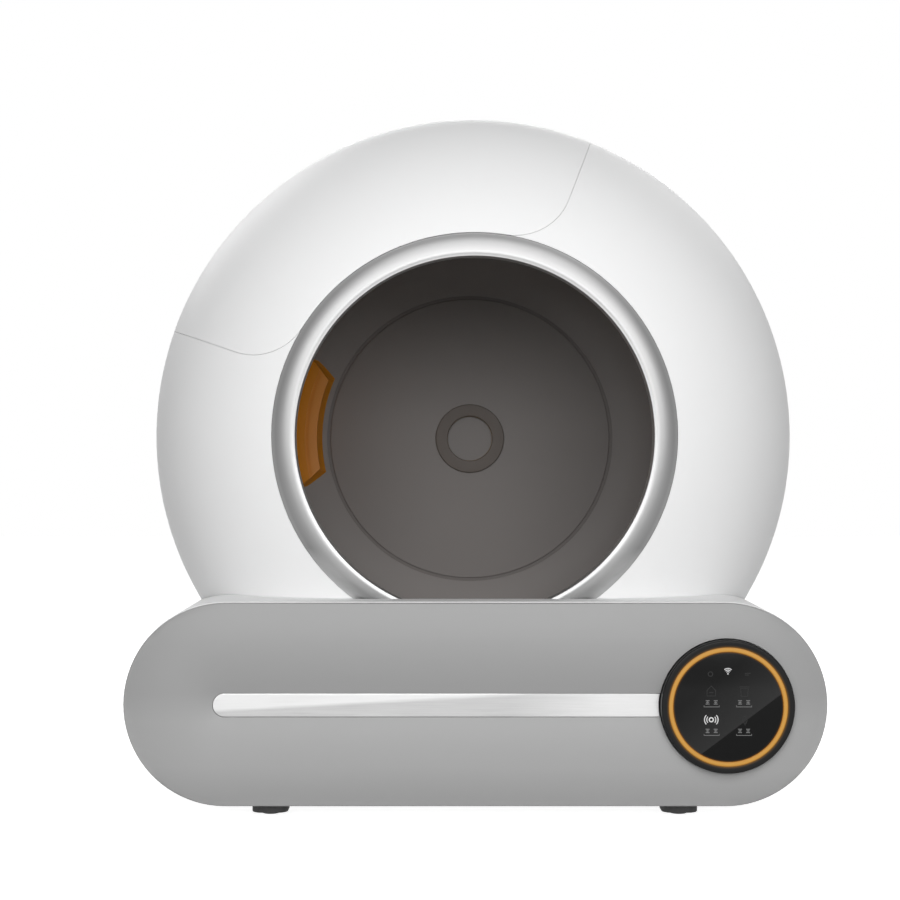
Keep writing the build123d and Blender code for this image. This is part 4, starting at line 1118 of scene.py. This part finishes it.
# Marks under the glass
# Small white, grey and faint signs, screen printed where the lamps shine through: wireless arcs, a
# round pulse sign, plain pictures for the other keys, and short bars with a line under them.
mark_front = glass_front - 0.00005
mark_back = glass_front + 0.0001
mark_depth = mark_back - mark_front


def stroke(shape, middle, points, width, closed=False):
    """Flat line of even width through points round a sign's middle on the pod's face."""
    flat = [Vector((middle[0] + x, middle[1] + z)) for x, z in points]
    count = len(flat)
    sides = []
    for number, point in enumerate(flat):
        before = flat[number - 1] if closed or number > 0 else point
        after = flat[(number + 1) % count] if closed or number < count - 1 else point
        along = (after - before).normalized()
        aside = Vector((-along.y, along.x)) * width / 2
        sides.append((point - aside, point + aside))
    corners = [
        [shape.verts.new((pod_middle[0] + side.x, mark_front, pod_middle[2] + side.y)) for side in pair]
        for pair in sides
    ]
    last = count if closed else count - 1
    for number in range(last):
        first, second = corners[number], corners[(number + 1) % count]
        shape.faces.new((first[0], first[1], second[1], second[0]))


def ink(name, low, high):
    """Finish of printed signs with light behind them."""
    finish = Finish(name)
    patch = finish.noise(finish.place(), 400.0, 3.0)
    finish.close(
        {
            "Base Color": finish.blend(patch, grey(low * 0.3), grey(high * 0.3)),
            "Roughness": 0.5,
            "Specular IOR Level": 0.2,
            "Emission Color": finish.blend(patch, grey(low), grey(high)),
            "Emission Strength": 1.0,
        }
    )
    return finish.material


bright_signs = bmesh.new()
wireless = (-0.0005, 0.0280)
stroke(bright_signs, wireless, arc((0, 0), 0.00035, 0, 315, 7), 0.0006, True)
for reach in (0.0018, 0.0032, 0.0046):
    stroke(bright_signs, wireless, arc((0, 0), reach, 48, 132), 0.0007)
pulse = (-0.0145, -0.0106)
stroke(bright_signs, pulse, arc((0, 0), 0.0017, 0, 345, 23), 0.0010, True)
for reach, half in ((0.0038, 40), (0.0057, 42)):
    for heading in (0, 180):
        stroke(bright_signs, pulse, arc((0, 0), reach, heading - half, heading + half), 0.0008)
thicken(bright_signs, mark_depth)
keep("bright_signs", bright_signs, "base", ink("bright_ink", 0.42, 0.62))
label_signs = bmesh.new()
underline = -0.0038
tick_top = -0.0026
tick_side = 0.0064
for label in ((-0.0142, 0.0040), (0.0131, 0.0040), (-0.0142, -0.0200), (0.0131, -0.0200)):
    for aside in (-0.0034, 0.0034):
        for lift, reach in ((0.0014, 0.0016), (0.0, 0.0012), (-0.0014, 0.0016)):
            stroke(label_signs, label, [(aside - reach, lift), (aside + reach, lift)], 0.0007)
        stroke(label_signs, label, [(aside, -0.0015), (aside, 0.0016)], 0.0005)
    stroke(label_signs, label, [(-tick_side, tick_top), (-tick_side, underline)], 0.0004)
    stroke(label_signs, label, [(-0.0066, underline), (0.0066, underline)], 0.0005)
    stroke(label_signs, label, [(tick_side, underline), (tick_side, tick_top)], 0.0004)
thicken(label_signs, mark_depth)
keep("label_signs", label_signs, "base", ink("label_ink", 0.1, 0.17))
faint_signs = bmesh.new()
house = (-0.0145, 0.0130)
house_wall = 0.0036
house_walls = [(-house_wall, -house_wall), (house_wall, -house_wall), (house_wall, 0.0010)]
stroke(faint_signs, house, house_walls + [(0.0, 0.0048), (-house_wall, 0.0010)], 0.0007, True)
stroke(faint_signs, house, [(-0.0018, -0.0008), (0.0018, -0.0008)], 0.0006)
can = (0.0134, 0.0130)
can_walls = [(-0.0026, -0.0040), (0.0026, -0.0040), (0.0032, 0.0026), (-0.0032, 0.0026)]
stroke(faint_signs, can, can_walls, 0.0007, True)
stroke(faint_signs, can, [(-0.0042, 0.0040), (0.0042, 0.0040)], 0.0007)
leaf = (0.0134, -0.0108)
leaf_radius = 0.0050
stroke(faint_signs, leaf, arc((-0.0028, 0), leaf_radius, -48, 48), 0.0006)
stroke(faint_signs, leaf, arc((0.0038, 0), leaf_radius, 132, 228), 0.0006)
stroke(faint_signs, leaf, [(0.0005, -0.0048), (0.0005, 0.0018)], 0.0005)
dial = (-0.0152, 0.0278)
stroke(faint_signs, dial, arc((0, 0), 0.0019, 0, 345, 23), 0.0007, True)
dashes = (0.0137, 0.0277)
stroke(faint_signs, dashes, [(0.0, 0.0007), (0.0050, 0.0007)], 0.0007)
stroke(faint_signs, dashes, [(0.0, -0.0007), (0.0034, -0.0007)], 0.0007)
thicken(faint_signs, mark_depth)
keep("faint_signs", faint_signs, "base", ink("faint_ink", 0.009, 0.015))

# Inside the pod
# A round circuit board with twelve lamps that shine into the light guide from behind. It stands on
# four nylon posts in the cup.
dress("pod_circuit_board", green.material)
dressed("pod_pillars", "pod_board_posts", "base", nylon.material)
